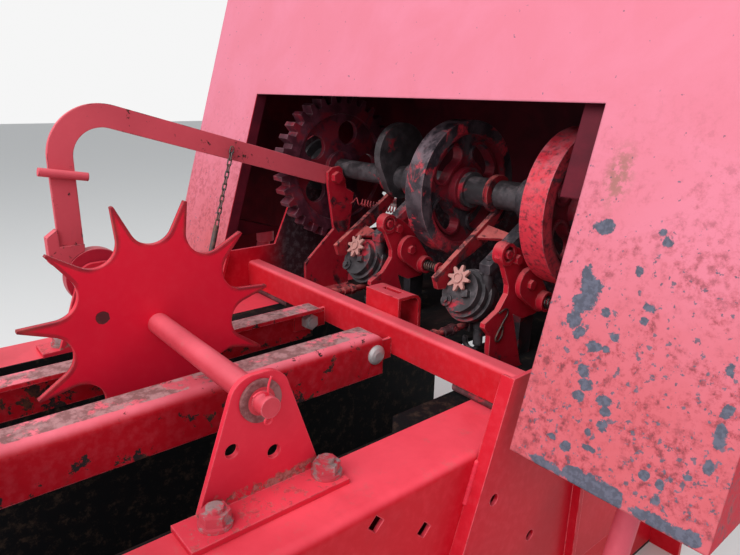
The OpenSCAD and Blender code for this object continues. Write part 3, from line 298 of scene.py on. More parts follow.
def weathered(n, base, top, chips=0.5, dust=0.3, grime=0.25, edge=0.5, grease=0.0, mask=None):
    """Colour and bareness of machine paint: lighter on top, partly sun fade and partly painted sky glare,
    with grime, chips and lighter worn edges that are partly a painted edge highlight.
    """
    normal = n.axes("Normal")
    # Upward-facing faces take the lighter top colour: partly sun-faded paint, partly painted sky glare.
    upward_fade_and_glare = n.step(normal[2], 0.2, 0.9)
    cloudy = n.noise(14, 5, 0.6, 0.3)
    fine = n.noise(90, 4, 0.6)
    region = n.noise(5, 2, 0.5, shift=(7, 0, 0))
    share = n.times(upward_fade_and_glare, n.blend(n.step(cloudy, 0.3, 0.7), 0.72, 1.0))
    colour = n.mix(share, base, top)
    colour = n.mix(n.times(n.step(fine, 0.4, 0.75), 0.12), colour, top)
    low = tuple(c * 0.62 for c in base)
    colour = n.mix(n.times(n.step(region, 0.45, 0.7), 0.45), colour, low)
    stain = n.noise(7, 6, 0.7, 0.6, shift=(3, 1, 2))
    dirty = n.times(n.step(stain, 0.56, 0.76), grime)
    colour = n.mix(dirty, colour, STAIN)
    dusty = n.times(upward_fade_and_glare, n.step(n.noise(40, 6, 0.75, shift=(1, 8, 1)), 0.55, 0.72), dust)
    colour = n.mix(dusty, colour, OLD_DUST)
    worn = n.edges(PAINT_BEVEL)
    # Worn edges go lighter: partly rubbed paint, partly a painted highlight along the edges.
    edge_wear_and_highlight = tuple(min(1.0, c + 0.10) for c in top)
    rubbed = n.step(n.noise(36, 4, 0.7, shift=(2, 2, 9)), 0.3, 0.55)
    colour = n.mix(n.times(worn, rubbed, 0.65), colour, edge_wear_and_highlight)
    scrape = n.noise(60, 6, 0.75, 0.2, shift=(0, 5, 1))
    chip = n.math("ADD", n.times(scrape, 0.75), n.times(region, 0.35))
    level = 0.755 - 0.08 * chips
    chip = n.times(n.step(chip, level, level + 0.025), min(1, chips + 0.3))
    level = 0.62 - 0.1 * edge
    rim = n.times(worn, n.step(n.noise(30, 5, 0.75, shift=(5, 2, 1)), level, level + 0.06), edge)
    bare = n.most(chip, rim)
    if mask is not None:
        bare = n.most(bare, mask)
    if grease:
        oily = n.noise(17, 7, 0.72, 0.6, shift=(9, 1, 4))
        level = 0.66 - 0.24 * grease
        oily = n.times(n.step(oily, level, level + 0.08), 0.9)
        colour = n.mix(oily, colour, n.mix(n.step(fine, 0.45, 0.65), OIL_DARK, OIL_PALE))
    rust = n.mix(n.step(n.noise(45, 5, 0.7), 0.45, 0.7), RUST_DARK, RUST_BROWN)
    return n.mix(bare, colour, rust), n.most(bare, n.times(dusty, 0.8)), cloudy


def lacquer(n, colour, bare, cloudy, gloss):
    """Finishes painted sheet: satin where painted, rough where bare, with its edges rounded."""
    rough = n.blend(bare, n.blend(cloudy, gloss, gloss + 0.15), 0.8)
    relief = n.math("SUBTRACT", n.times(n.noise(220, 3, 0.6), 0.25), bare)
    normal = n.bump(relief, 0.0005, 0.6, n.rounded(PAINT_BEVEL))
    return n.finish(colour, rough, normal=normal, specular=PAINT_SPECULAR, coat=PAINT_COAT)


def paint(name, base, top, gloss=0.32, **wear):
    n = Nodes(name)
    colour, bare, cloudy = weathered(n, base, top, **wear)
    return lacquer(n, colour, bare, cloudy, gloss)


PLATE_OIL_DARK = (0.014, 0.015, 0.020)
PLATE_OIL_PALE = (0.06, 0.055, 0.065)
# Y at which the plates begin to be greasy, and Y from which they are so in full
PLATE_OIL_START = (0.02, 0.09)


def plate_paint(name, base, top, **wear):
    """Machine paint, under black grease on the inner faces beside the knotters."""
    n = Nodes(name)
    axes = n.axes()
    normal = n.axes("Normal")
    inwards = n.times(axes[0], normal[0])
    near = n.times(n.step(inwards, -0.15, -0.28), n.step(axes[1], *PLATE_OIL_START))
    oily = n.step(n.noise(11, 7, 0.7, 0.7, shift=(5, 5, 5)), 0.34, 0.42)
    colour, bare, cloudy = weathered(n, base, top, **wear)
    grease = n.mix(n.step(n.noise(80, 5, 0.7), 0.45, 0.65), PLATE_OIL_DARK, PLATE_OIL_PALE)
    near = n.times(near, oily)
    return lacquer(n, n.mix(n.times(near, 0.95), colour, grease), n.most(bare, near), cloudy, 0.3)


CHAMBER_HALF = 0.2285
WALL_SHEET = 0.004
CHAFF = (0.045, 0.028, 0.02)


def wall_paint(name, base, top, **wear):
    """Machine paint, blackened on the faces that line the chamber: partly chaff and dirt, partly painted
    shade inside the chamber.
    """
    n = Nodes(name)
    colour, bare, cloudy = weathered(n, base, top, **wear)
    axes = n.axes()
    # Faces that line the chamber go near black: partly dirt, partly painted shade.
    chamber_dirt_and_shade = n.math("LESS_THAN", n.math("ABSOLUTE", axes[0]), CHAMBER_HALF + WALL_SHEET / 2)
    crop_dirt_and_shade = n.mix(n.step(n.noise(60, 6, 0.75), 0.5, 0.72), BLACK, CHAFF)
    colour = n.mix(chamber_dirt_and_shade, colour, crop_dirt_and_shade)
    return lacquer(n, colour, n.most(bare, chamber_dirt_and_shade), cloudy, 0.3)


RAIL_RED = (0.50, 0.008, 0.018)
# Pink that the rails' upward-facing faces take, the rounded corners most: a painted highlight.
RAIL_PINK_HIGHLIGHT = (0.90, 0.20, 0.26)
RAIL_DUST_DARK = (0.20, 0.115, 0.11)
RAIL_DUST_PALE = (0.42, 0.25, 0.25)
# Heights on a rail's side between which the chips grow more frequent
RAIL_CHIPS = (0.425, 0.374)


def rail_paint():
    """Rails: brown dusty tops, rounded corners painted a light pink as a highlight, and red sides that are
    chipped low down.
    """
    n = Nodes("rail_paint")
    axes = n.axes()
    normal = n.axes("Normal")
    flaky = n.noise(34, 8, 0.72, 0.2, shift=(1, 4, 4))
    depth = n.step(axes[2], *RAIL_CHIPS)
    region = n.step(n.noise(5, 3, 0.6, shift=(2, 2, 5)), 0.38, 0.62)
    chip = n.math("ADD", flaky, n.times(depth, n.blend(region, 0.02, 0.13)))
    chip = n.step(chip, 0.605, 0.625)
    flat = n.step(normal[2], 0.93, 0.99)
    worn = n.math("ADD", n.noise(26, 6, 0.7, shift=(4, 4, 1)), n.times(flat, 0.2))
    worn = n.times(n.step(worn, 0.60, 0.68), flat)
    colour, bare, cloudy = weathered(n, RAIL_RED, RAIL_PINK_HIGHLIGHT, chips=0.5, dust=0.2, grime=0.3, edge=0.9,
                                     mask=chip)
    dusty = n.mix(n.step(n.noise(70, 4, 0.7), 0.4, 0.6), RAIL_DUST_DARK, RAIL_DUST_PALE)
    colour = n.mix(n.times(worn, 0.9), colour, dusty)
    return lacquer(n, colour, n.most(bare, worn), cloudy, 0.34)


# Y and Z of the knotter shaft, and the radii between which a disc's web turns into its rim
SHAFT_AT = (0.173, 0.612)
DISC_RIM = (0.082, 0.090)
DISC_IRON_DARK = (0.026, 0.020, 0.027)
DISC_IRON_PALE = (0.075, 0.055, 0.066)
DISC_WEB_RED = (0.22, 0.010, 0.022)
# Red of the discs' rims, made brighter to act as painted light on the outer disc's shaded rim.
DISC_RIM_RED_AND_LIGHT = (0.68, 0.035, 0.060)
DISC_OLD_RED = (0.16, 0.02, 0.03)
DISC_WORN = (0.42, 0.24, 0.27)


def disc_iron(name, rim_red, web_red, dust):
    """Cam discs: greasy rims, and oily red webs."""
    n = Nodes(name)
    rim = n.step(n.from_axis(n.axes(), SHAFT_AT), *DISC_RIM)
    lumps = n.noise(38, 6, 0.7, 0.3)
    fine = n.noise(170, 4, 0.65)
    oily = n.noise(12, 7, 0.72, 0.7, shift=(0, 3, 3))
    share = n.blend(rim, web_red, rim_red)
    red = n.step(n.math("ADD", oily, n.times(share, 0.24)), 0.60, 0.67)
    iron = n.mix(n.step(lumps, 0.4, 0.65), DISC_IRON_DARK, DISC_IRON_PALE)
    coat = n.mix(n.step(fine, 0.45, 0.7), n.mix(rim, DISC_WEB_RED, DISC_RIM_RED_AND_LIGHT), DISC_OLD_RED)
    colour = n.mix(n.times(red, 0.92), iron, coat)
    dusty = n.times(n.step(n.axes("Normal")[2], -0.3, 0.9), n.step(lumps, 0.40, 0.62), rim)
    colour = n.mix(n.times(dusty, 0.6), colour, dust)
    worn = n.times(n.edges(PAINT_BEVEL), n.step(lumps, 0.36, 0.5), rim)
    colour = n.mix(n.times(worn, 0.5), colour, DISC_WORN)
    relief = n.math("ADD", n.times(lumps, 0.7), n.times(fine, 0.3))
    rough = n.blend(n.step(lumps, 0.35, 0.7), 0.32, 0.7)
    return n.finish(colour, rough, 0.1, n.bump(relief, 0.0014, 0.8, n.rounded(PAINT_BEVEL)), specular=0.35)


# Y and Z of the metering wheel's axis, and the radii between which its teeth begin
WHEEL_AT = (-0.296, 0.482)
TOOTH_START = (0.106, 0.124)
TOOTH_BEVEL = 0.007
# Dark spot on the wheel's face: centre and half-axes
WHEEL_SPOT = ((0.0, -0.3583, 0.5033), (0.1, 0.012, 0.012))


def wheel_paint():
    """The wheel's paint, worn to dark steel along both edges of each tooth."""
    n = Nodes("wheel_paint")
    out = n.from_axis(n.axes(), WHEEL_AT)
    tooth = n.step(n.math("ADD", out, n.times(n.noise(40, 4), 0.03)), *TOOTH_START)
    worn = n.times(n.edges(TOOTH_BEVEL, 0.9999, 0.985), tooth)
    spot = n.math("ADD", n.near(*WHEEL_SPOT, 0.3), n.times(n.noise(150, 4), 0.6))
    worn = n.most(worn, n.step(spot, 0.75, 0.9))
    colour, bare, cloudy = weathered(n, (0.72, 0.010, 0.036), (0.78, 0.06, 0.09), chips=0.25, dust=0.05,
                                     grime=0.12, edge=0.3, mask=n.times(worn, 0.9))
    return lacquer(n, colour, bare, cloudy, 0.38)


# Dark spots on the hood's rear face: x, z, half width and half height
HOOD_SPOTS = [
    (0.379, 0.629, 0.009, 0.007), (0.442, 0.628, 0.005, 0.005), (0.435, 0.635, 0.004, 0.004),
    (0.376, 0.587, 0.005, 0.009), (0.383, 0.573, 0.011, 0.012), (0.379, 0.557, 0.012, 0.009),
    (0.376, 0.539, 0.008, 0.007), (0.384, 0.529, 0.005, 0.006), (0.404, 0.554, 0.005, 0.004),
    (0.444, 0.569, 0.007, 0.005), (0.442, 0.557, 0.004, 0.004), (0.425, 0.598, 0.004, 0.004),
    (0.420, 0.536, 0.006, 0.004), (0.403, 0.521, 0.009, 0.005), (0.415, 0.522, 0.006, 0.003),
    (0.398, 0.496, 0.007, 0.006), (0.406, 0.485, 0.009, 0.005), (0.401, 0.472, 0.007, 0.005),
    (0.427, 0.477, 0.007, 0.005), (0.431, 0.469, 0.005, 0.004), (0.431, 0.454, 0.006, 0.006),
    (0.421, 0.444, 0.004, 0.004), (0.403, 0.423, 0.005, 0.005), (0.386, 0.426, 0.005, 0.003),
    (0.423, 0.431, 0.007, 0.003), (0.480, 0.431, 0.004, 0.004), (0.495, 0.430, 0.004, 0.004),
    (0.513, 0.445, 0.004, 0.004), (0.495, 0.416, 0.004, 0.006), (0.520, 0.536, 0.004, 0.006),
    (0.527, 0.507, 0.005, 0.006), (0.527, 0.489, 0.005, 0.007), (0.528, 0.481, 0.005, 0.005),
    (0.526, 0.459, 0.004, 0.006), (0.390, 0.398, 0.022, 0.005), (0.420, 0.401, 0.018, 0.007),
    (0.443, 0.401, 0.018, 0.010), (0.460, 0.400, 0.010, 0.008), (0.485, 0.398, 0.010, 0.004),
    (0.499, 0.399, 0.011, 0.006), (0.514, 0.400, 0.011, 0.006), (0.528, 0.402, 0.008, 0.006),
]
HOOD_LOW = (0.55, 0.105, 0.120)
HOOD_HIGH_AND_GLARE = (0.68, 0.205, 0.285)
HOOD_SIDE_RED_AND_SHADE = (0.50, 0.008, 0.030)
HOOD_STAIN = (0.36, 0.06, 0.075)
HOOD_DIRT = (0.15, 0.045, 0.055)
HOOD_SCRAPED = (0.34, 0.15, 0.13)
HOOD_WORN = (0.40, 0.15, 0.16)
HOOD_INSIDE_DIRT_AND_SHADE_DARK = (0.06, 0.006, 0.013)
HOOD_INSIDE_DIRT_AND_SHADE_PALE = (0.14, 0.010, 0.022)
LICHEN = (0.125, 0.130, 0.175)
# Squared distance, in a spot's half-axes, beyond which no spot counts
SPOT_REACH = 4.0
HOOD_BEVEL = 0.003
# Scraped patch beside the window: centre and half-axes
SCRAPE = ((0.380, 0.021, 0.678), (0.020, 0.1, 0.042))
# The hood's outer faces and its sheet. The rear face stands HOOD_BACK behind Y = 0 at the height of the
# crossbar's top, and rises HOOD_SLOPE for each metre forward. Its bend into the top begins HOOD_BEND below.
HOOD_SHEET = 0.003
HOOD_SLOPE = 3.33
HOOD_BACK = 0.05
HOOD_HALF = 0.545
HOOD_FRONT = 0.44
HOOD_TOP = 0.96
HOOD_BEND = 0.045
BAR_TOP = 0.44
# Heights between which its hem turns bare downwards
HOOD_HEM = (0.384, 0.380)
# Heights between which its paint goes lighter upwards, partly sun fade and partly painted sky glare, and
# between which it gets dirty downwards
HOOD_FADE_AND_GLARE = (0.40, 0.72)
HOOD_DIRTY = (0.80, 0.45)
# X from which its right part is dirtier
HOOD_RIGHT = (0.36, 0.45)


def hood_paint():
    """Chalky sun-faded paint, lighter towards the top partly as painted sky glare, with lichen spots low on
    the right, red sides partly as painted shade, and a dark inside that is partly dirt and partly painted
    shade.
    """
    n = Nodes("hood_paint")
    axes = n.axes()
    normal = n.axes("Normal")
    cloudy = n.noise(9, 6, 0.62, 0.4)
    fine = n.noise(110, 5, 0.7)
    # Lighter towards the top: partly sun fade, partly painted sky glare.
    height = n.step(axes[2], *HOOD_FADE_AND_GLARE)
    share = n.math("ADD", n.times(height, 0.8), n.times(n.step(cloudy, 0.35, 0.7), 0.22), True)
    colour = n.mix(share, HOOD_LOW, HOOD_HIGH_AND_GLARE)
    # Side faces take a deeper red: partly paint that the sun faded less, partly painted shade.
    side = n.step(n.math("ABSOLUTE", normal[0]), 0.6, 0.95)
    colour = n.mix(side, colour, HOOD_SIDE_RED_AND_SHADE)
    low = n.step(axes[2], *HOOD_DIRTY)
    right = n.step(n.math("ADD", axes[0], n.times(n.noise(4, 3), 0.15)), *HOOD_RIGHT)
    patchy = n.times(n.step(n.noise(22, 6, 0.72, 0.5, shift=(4, 0, 0)), 0.36, 0.60), low)
    colour = n.mix(n.times(patchy, n.step(fine, 0.44, 0.58), 0.8), colour, HOOD_STAIN)
    colour = n.mix(n.times(patchy, right, n.step(fine, 0.55, 0.63), 0.85), colour, HOOD_DIRT)
    scraped = n.times(n.near(*SCRAPE, 0.2), n.step(fine, 0.40, 0.56), 0.85)
    colour = n.mix(scraped, colour, HOOD_SCRAPED)
    spot = hood_lichen(n, axes, normal, low, right)
    lichen = n.mix(n.step(n.noise(200, 3, 0.6), 0.4, 0.62), tuple(c * 0.7 for c in LICHEN), LICHEN)
    colour = n.mix(spot, colour, lichen)
    worn = n.times(n.edges(HOOD_BEVEL), n.step(n.noise(30, 4, 0.7), 0.5, 0.62))
    colour = n.mix(n.times(worn, 0.45), colour, HOOD_WORN)
    # Faces that look inwards, and the folded faces under the top's bend that look down, go dark red: partly
    # dirt, partly painted shade.
    dark = n.mix(n.step(cloudy, 0.35, 0.7), HOOD_INSIDE_DIRT_AND_SHADE_DARK, HOOD_INSIDE_DIRT_AND_SHADE_PALE)
    colour = n.mix(hood_inside(n, axes, normal), colour, dark)
    rough = n.blend(spot, n.blend(cloudy, 0.5, 0.65), 0.9)
    relief = n.math("ADD", n.times(fine, 0.25), n.times(spot, 0.35))
    dents = n.bump(n.noise(3.2, 2, 0.4), 0.010, 0.3, n.rounded(HOOD_BEVEL))
    return n.finish(colour, rough, normal=n.bump(relief, 0.0006, 0.5, dents), specular=PAINT_SPECULAR,
                    coat=0.03, coat_rough=0.35)


def hood_lichen(n, axes, normal, low, right):
    """1 on the lichen: spots at their own places, specks that grow more frequent low down, and the hem."""
    blotch = n.noise(70, 5, 0.72, 0.3, shift=(1, 1, 6))
    away = SPOT_REACH
    for x, z, wide, high in HOOD_SPOTS:
        across = n.times(n.math("SUBTRACT", axes[0], x), 1 / wide)
        along = n.times(n.math("SUBTRACT", axes[2], z), 1 / high)
        away = n.math("MINIMUM", away, n.math("ADD", n.times(across, across), n.times(along, along)))
    rear_face = n.math("LESS_THAN", normal[1], -0.5)
    ragged = n.times(n.math("SUBTRACT", blotch, 0.5), 6.0)
    spot = n.times(n.step(n.math("ADD", away, ragged), 1.25, 0.85), rear_face)
    around = n.step(away, 30.0, 2.0)
    specks = n.math("ADD", n.noise(150, 3, 0.6, shift=(6, 0, 3)), n.times(low, right, 0.05))
    specks = n.math("ADD", specks, n.math("ADD", n.times(low, 0.06), n.times(around, rear_face, 0.04)))
    spot = n.most(spot, n.times(n.step(specks, 0.74, 0.775), 0.85))
    hem = n.math("SUBTRACT", axes[2], n.times(blotch, 0.018))
    return n.most(spot, n.times(n.step(hem, *HOOD_HEM), rear_face))


def hood_inside(n, axes, normal):
    """1 on the faces of the sheet that look inwards, worked out from where they lie; these take the painted
    shade and dirt of the inside.
    """
    half = HOOD_SHEET / 2
    lean = n.math("SUBTRACT", axes[1], n.times(n.math("SUBTRACT", axes[2], BAR_TOP), 1 / HOOD_SLOPE))
    rear = n.math("GREATER_THAN", lean, -HOOD_BACK + half)
    sides = n.math("LESS_THAN", n.math("ABSOLUTE", axes[0]), HOOD_HALF - half)
    front = n.math("LESS_THAN", axes[1], HOOD_FRONT - half)
    top = n.math("LESS_THAN", axes[2], HOOD_TOP - half)
    below_bend = n.math("LESS_THAN", axes[2], HOOD_TOP - HOOD_BEND)
    faces_down = n.math("LESS_THAN", normal[2], 0.05)
    return n.times(rear, sides, front, top, n.most(below_bend, faces_down))


IRON_BEVEL = 0.0015
IRON_WORN = (0.34, 0.27, 0.28)


def greasy_iron(name, base, dust, shine=0.35, red=0.0, paint_red=(0.45, 0.02, 0.04)):
    """Castings under dried grease, dusty on top, with paint left in patches and bright rubbed edges."""
    n = Nodes(name)
    normal = n.axes("Normal")
    lumps = n.noise(38, 6, 0.7, 0.3)
    fine = n.noise(170, 4, 0.65)
    colour = n.mix(n.step(lumps, 0.4, 0.65), base, tuple(c * 2.1 for c in base))
    if red:
        level = 0.60 - 0.22 * red
        patch = n.step(n.noise(11, 5, 0.7, 0.5, shift=(0, 3, 3)), level, level + 0.08)
        colour = n.mix(n.times(patch, n.blend(n.step(fine, 0.5, 0.7), 1.0, 0.7)), colour, paint_red)
    dusty = n.times(n.step(normal[2], -0.1, 0.9), n.step(lumps, 0.42, 0.65), n.step(fine, 0.35, 0.6))
    colour = n.mix(n.times(dusty, 0.55), colour, dust)
    worn = n.times(n.edges(IRON_BEVEL), n.step(lumps, 0.38, 0.55))
    colour = n.mix(n.times(worn, 0.4), colour, IRON_WORN)
    rough = n.blend(n.step(lumps, 0.35, 0.7), shine, shine + 0.35)
    relief = n.math("ADD", n.times(lumps, 0.7), n.times(fine, 0.3))
    return n.finish(colour, rough, 0.15, n.bump(relief, 0.0012, 0.7, n.rounded(IRON_BEVEL)), specular=0.35)


RUST_ORANGE = (0.22, 0.09, 0.06)
STEEL_PAINT = (0.50, 0.03, 0.055)
STEEL_BEVEL = 0.001


def steel(name, base, rust, rough, red=0.0, metal=0.8):
    """Plated or bare steel with rust in patches and remains of paint."""
    n = Nodes(name)
    patch = n.noise(60, 6, 0.7, 0.2)
    rusty = n.times(n.step(patch, 0.47, 0.6), rust)
    shade = n.mix(n.noise(25, 3), base, tuple(c * 0.7 for c in base))
    brown = n.mix(n.step(n.noise(140, 3), 0.4, 0.6), RUST_BROWN, RUST_ORANGE)
    colour = n.mix(rusty, shade, brown)
    cover = rusty
    if red:
        painted = n.times(n.step(n.noise(48, 5, 0.7, shift=(3, 3, 3)), 0.44, 0.54), red)
        colour = n.mix(painted, colour, STEEL_PAINT)
        cover = n.most(rusty, painted)
    return n.finish(colour, n.blend(cover, rough, 0.75), n.blend(cover, metal, 0.0),
                    n.bump(n.math("ADD", patch, rusty), 0.0005, 0.5, n.rounded(STEEL_BEVEL)))


# Near black of the chamber plates: partly dirt, partly painted shade.
CROP_DARK_AND_SHADE = (0.008, 0.007, 0.008)
CROP_BROWN = (0.04, 0.018, 0.018)
CROP_DUST = (0.10, 0.07, 0.05)


def crop_and_shade_black(name):
    """Chamber plates: dark steel scoured by hay, darkened further as painted shade inside the chamber, with
    a little chaff dust.
    """
    n = Nodes(name)
    streak = n.noise(10, 6, 0.7, 0.2, stretch=(1, 0.15, 1))
    colour = n.mix(n.step(streak, 0.45, 0.65), CROP_DARK_AND_SHADE, CROP_BROWN)
    colour = n.mix(n.times(n.step(n.noise(60, 5, 0.7), 0.55, 0.68), 0.4), colour, CROP_DUST)
    return n.finish(colour, 0.75, 0.0, n.bump(streak, 0.0008, 0.5), specular=0.2)


# Heights on a bracket between which the dust in its foot's bend fades out upwards, and downwards
FOOT_DUST_TOP = (0.406, 0.392)
FOOT_DUST_END = (0.3855, 0.3865)
FOOT_RUST = (0.17, 0.07, 0.06)
FOOT_DUST = (0.34, 0.17, 0.15)


def bracket_paint():
    """The wheel's brackets: clean paint, with dust and rust along the bend of the foot."""
    n = Nodes("bracket_paint")
    axes = n.axes()
    colour, bare, cloudy = weathered(n, (0.66, 0.022, 0.048), (0.84, 0.065, 0.10),
                                     chips=0.45, dust=0.4, grime=0.2)
    low = n.times(n.step(axes[2], *FOOT_DUST_TOP), n.step(axes[2], *FOOT_DUST_END))
    dusty = n.step(n.math("ADD", n.noise(75, 6, 0.75, shift=(2, 7, 2)), n.times(low, 0.16)), 0.60, 0.68)
    streak = n.mix(n.step(n.noise(160, 3, 0.6), 0.4, 0.6), FOOT_RUST, FOOT_DUST)
    colour = n.mix(n.times(dusty, low, 0.85), colour, streak)
    return lacquer(n, colour, n.most(bare, n.times(dusty, low)), cloudy, 0.3)


TUBE_RADIUS = 0.0138
WASHER_PALE = (0.26, 0.13, 0.13)
WASHER_DARK = (0.12, 0.05, 0.05)


def tube_paint():
    """The wheel's shaft: sun-faded paint on the tube, dusty steel on the washer at its end."""
    n = Nodes("tube_paint")
    washer = n.math("GREATER_THAN", n.from_axis(n.axes(), WHEEL_AT), TUBE_RADIUS)
    colour, bare, cloudy = weathered(n, (0.52, 0.045, 0.065), (0.78, 0.13, 0.17),
                                     chips=0.6, dust=0.3, grime=0.4)
    dull = n.mix(n.step(n.noise(60, 5, 0.7), 0.42, 0.6), WASHER_PALE, WASHER_DARK)
    colour = n.mix(n.times(washer, 0.9), colour, dull)
    return lacquer(n, colour, n.most(bare, washer), cloudy, 0.36)


def make_materials():
    """Every finish by its name in FINISHES; paint takes its colour on the sides, then on top."""
    return {
        "hood": hood_paint(),
        "wall": wall_paint("wall_paint", (0.52, 0.004, 0.014), (0.93, 0.085, 0.125), chips=0.3, dust=0.2,
                           grime=0.15),
        "bar": paint("bar_paint", (0.56, 0.012, 0.022), (0.88, 0.13, 0.17), chips=0.7, dust=0.4, grime=0.3,
                     edge=1.0),
        "side": plate_paint("side_paint", (0.52, 0.006, 0.018), (0.90, 0.10, 0.14), chips=0.35, grime=0.2),
        "bracket": bracket_paint(),
        "tube": tube_paint(),
        "wheel": wheel_paint(),
        "arm": paint("arm_paint", (0.64, 0.085, 0.115), (0.74, 0.14, 0.17), 0.5, chips=1.1, grime=0.8,
                     edge=1.0),
        "roller": paint("roller_paint", (0.48, 0.02, 0.045), (0.70, 0.10, 0.13), chips=0.4, grime=0.3),
        "rail": rail_paint(),
        "inner": paint("inner_paint", (0.46, 0.012, 0.028), (0.58, 0.10, 0.11), 0.34, chips=0.6, grime=0.5,
                       edge=0.8, grease=0.45),
        "stay": paint("stay_paint", (0.34, 0.016, 0.026), (0.52, 0.13, 0.12), 0.4, chips=0.7, grime=0.8,
                      edge=0.9, dust=0.9, grease=0.75),
        # Near-black paint of the front sheet: painted shade for the dark gap behind the knotters, under
        # grime and grease.
        "sheet": paint("shade_sheet_paint", (0.05, 0.006, 0.010), (0.09, 0.03, 0.03), 0.5, chips=0.8, grime=1.0,
                       grease=1.0),
        "post": paint("post_paint", (0.62, 0.09, 0.13), (0.8, 0.2, 0.25), 0.45, chips=0.3, grime=0.2),
        "plate": crop_and_shade_black("chamber_plate"),
        "iron": greasy_iron("knotter_iron", (0.038, 0.033, 0.037), (0.20, 0.15, 0.16), red=0.15),
        "disc": disc_iron("disc_iron", 0.35, 0.75, (0.24, 0.17, 0.20)),
        # The outer disc, fully red on its rim and with lighter dust, is brighter than its twin: painted
        # light where its rim lies in shade under the hood's edge.
        "disc_red_and_lit": disc_iron("outer_disc_lit", 1.0, 0.9, (0.62, 0.16, 0.20)),
        "gear": greasy_iron("gear_iron", (0.06, 0.012, 0.022), (0.14, 0.06, 0.08), 0.4, 0.5,
                            (0.20, 0.012, 0.025)),
        "frame": greasy_iron("frame_iron", (0.030, 0.026, 0.031), (0.22, 0.15, 0.16), 0.4, 0.28,
                             paint_red=(0.38, 0.018, 0.035)),
        "star": paint("star_paint", (0.46, 0.21, 0.185), (0.62, 0.33, 0.30), 0.5, chips=0.8, grime=0.5,
                      edge=0.6),
        "bolt": steel("bolt_steel", (0.42, 0.32, 0.32), 0.45, 0.42, red=0.95, metal=0.4),
        "silver": steel("bright_bolt", (0.55, 0.51, 0.52), 0.1, 0.45, metal=0.35),
        "chain": steel("chain_steel", (0.13, 0.10, 0.10), 0.7, 0.45),
        "spring": steel("spring_steel", (0.10, 0.08, 0.08), 0.6, 0.4),
        "pad": greasy_iron("pad_iron", (0.09, 0.032, 0.036), (0.24, 0.10, 0.10), 0.6, 0.4),
    }


# The nodes that wear each finish; "sheet" goes to a small piece alone
FINISHES = {
    "hood": ["hood"],
    "wall": ["wall_left", "wall_right", "front_flange"],
    "bar": ["crossbar", "crossbar_strap"],
    "side": ["side_plate_left", "side_plate_right", "tension_yoke"],
    "bracket": ["wheel_bracket_left", "wheel_bracket_right"],
    "tube": ["wheel_shaft"],
    "wheel": ["metering_wheel"],
    "arm": ["trip_arm", "trip_shoe"],
    "roller": ["measuring_roller"],
    "rail": ["rail_left", "rail_right"],
    "inner": ["trip_bracket", "trip_spring", "breast_plate_left", "breast_plate_right"],
    "stay": ["knotter_stay_left", "knotter_stay_right"],
    "post": ["hood_posts"],
    "plate": ["chamber_floor", "chamber_cover"],
    "iron": ["twine_drum_left", "twine_drum_right", "billhook_left", "billhook_right", "shaft_bearings",
             "knotter_shaft", "needle_cam"],
    "frame": ["knotter_frame_left", "knotter_frame_right"],
    "disc": ["cam_disc_left"],
    "disc_red_and_lit": ["cam_disc_right"],
    "gear": ["drive_gear"],
    "star": ["twine_star_left", "twine_star_right"],
    "bolt": ["bracket_bolts", "tension_cranks", "hinge_rod"],
    "pad": ["crossbar_pads"],
    "silver": ["rail_bolts"],
    "chain": ["trip_chain"],
    "spring": ["breast_spring_left", "breast_spring_right", "tension_springs"],
}


def dress_nodes(materials):
    for finish, names in FINISHES.items():
        for name in names:
            slots = NODES[name].material_slots
            if not slots:
                NODES[name].data.materials.append(materials[finish])
            for slot in slots:
                slot.material = materials[finish]


# Small pieces


def wire(name, points, radius, material, body):
    """Round wire along a smooth line through the points."""
    data = bpy.data.curves.new(name, "CURVE")
    data.dimensions = "3D"
    data.bevel_depth = radius
    data.bevel_resolution = 4
    data.use_fill_caps = True
    spline = data.splines.new("BEZIER")
    spline.bezier_points.add(len(points) - 1)
    for knot, at in zip(spline.bezier_points, points):
        knot.co = at
        knot.handle_left_type = knot.handle_right_type = "AUTO"
    spline.resolution_u = 8
    piece = bpy.data.objects.new(name, data)
    data.materials.append(material)
    bpy.context.collection.objects.link(piece)
    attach(piece, body)


def in_plane(x, points):
    return [(x, y, z) for y, z in points]


def add_mesh(name, mesh, material, body, smooth=False):
    """Makes a piece of a bmesh, which is freed, and rides it on a body."""
    bmesh.ops.recalc_face_normals(mesh, faces=mesh.faces)
    data = bpy.data.meshes.new(name)
    mesh.to_mesh(data)
    mesh.free()
    for face in data.polygons:
        face.use_smooth = smooth
    data.materials.append(material)
    piece = bpy.data.objects.new(name, data)
    bpy.context.collection.objects.link(piece)
    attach(piece, body)


# A weld bead's rings: corners, spacing and end size as shares of its radius, and rings to a ripple
BEAD_SIDES = 10
BEAD_STEP = 0.45
BEAD_END = 0.35
RIPPLE = 2.5


def weld_bead(name, start, end, radius, material, body):
    """Row of overlapping weld ripples from start to end."""
    rng = random.Random(name)
    start, end = Vector(start), Vector(end)
    length = (end - start).length
    along = (end - start).normalized()
    across = along.orthogonal().normalized()
    other = along.cross(across)
    steps = int(length / (radius * BEAD_STEP))
    mesh = bmesh.new()
    rings = []
    for i in range(steps + 1):
        swell = 0.8 + 0.2 * abs(math.sin(i * math.pi / RIPPLE)) + rng.uniform(-0.08, 0.08)
        if i in (0, steps):
            swell *= BEAD_END
        centre = start + along * length * (i / steps)
        ring = []
        for k in range(BEAD_SIDES):
            a = 2 * math.pi * k / BEAD_SIDES
            out = across * math.cos(a) + other * math.sin(a)
            ring.append(mesh.verts.new(centre + out * radius * swell))
        rings.append(ring)
    for low, high in zip(rings, rings[1:]):
        for k in range(BEAD_SIDES):
            after = (k + 1) % BEAD_SIDES
            mesh.faces.new((low[k], low[after], high[after], high[k]))
    mesh.faces.new(reversed(rings[0]))
    mesh.faces.new(rings[-1])
    add_mesh(name, mesh, material, body, smooth=True)


COTTER_WIRE = 0.0011
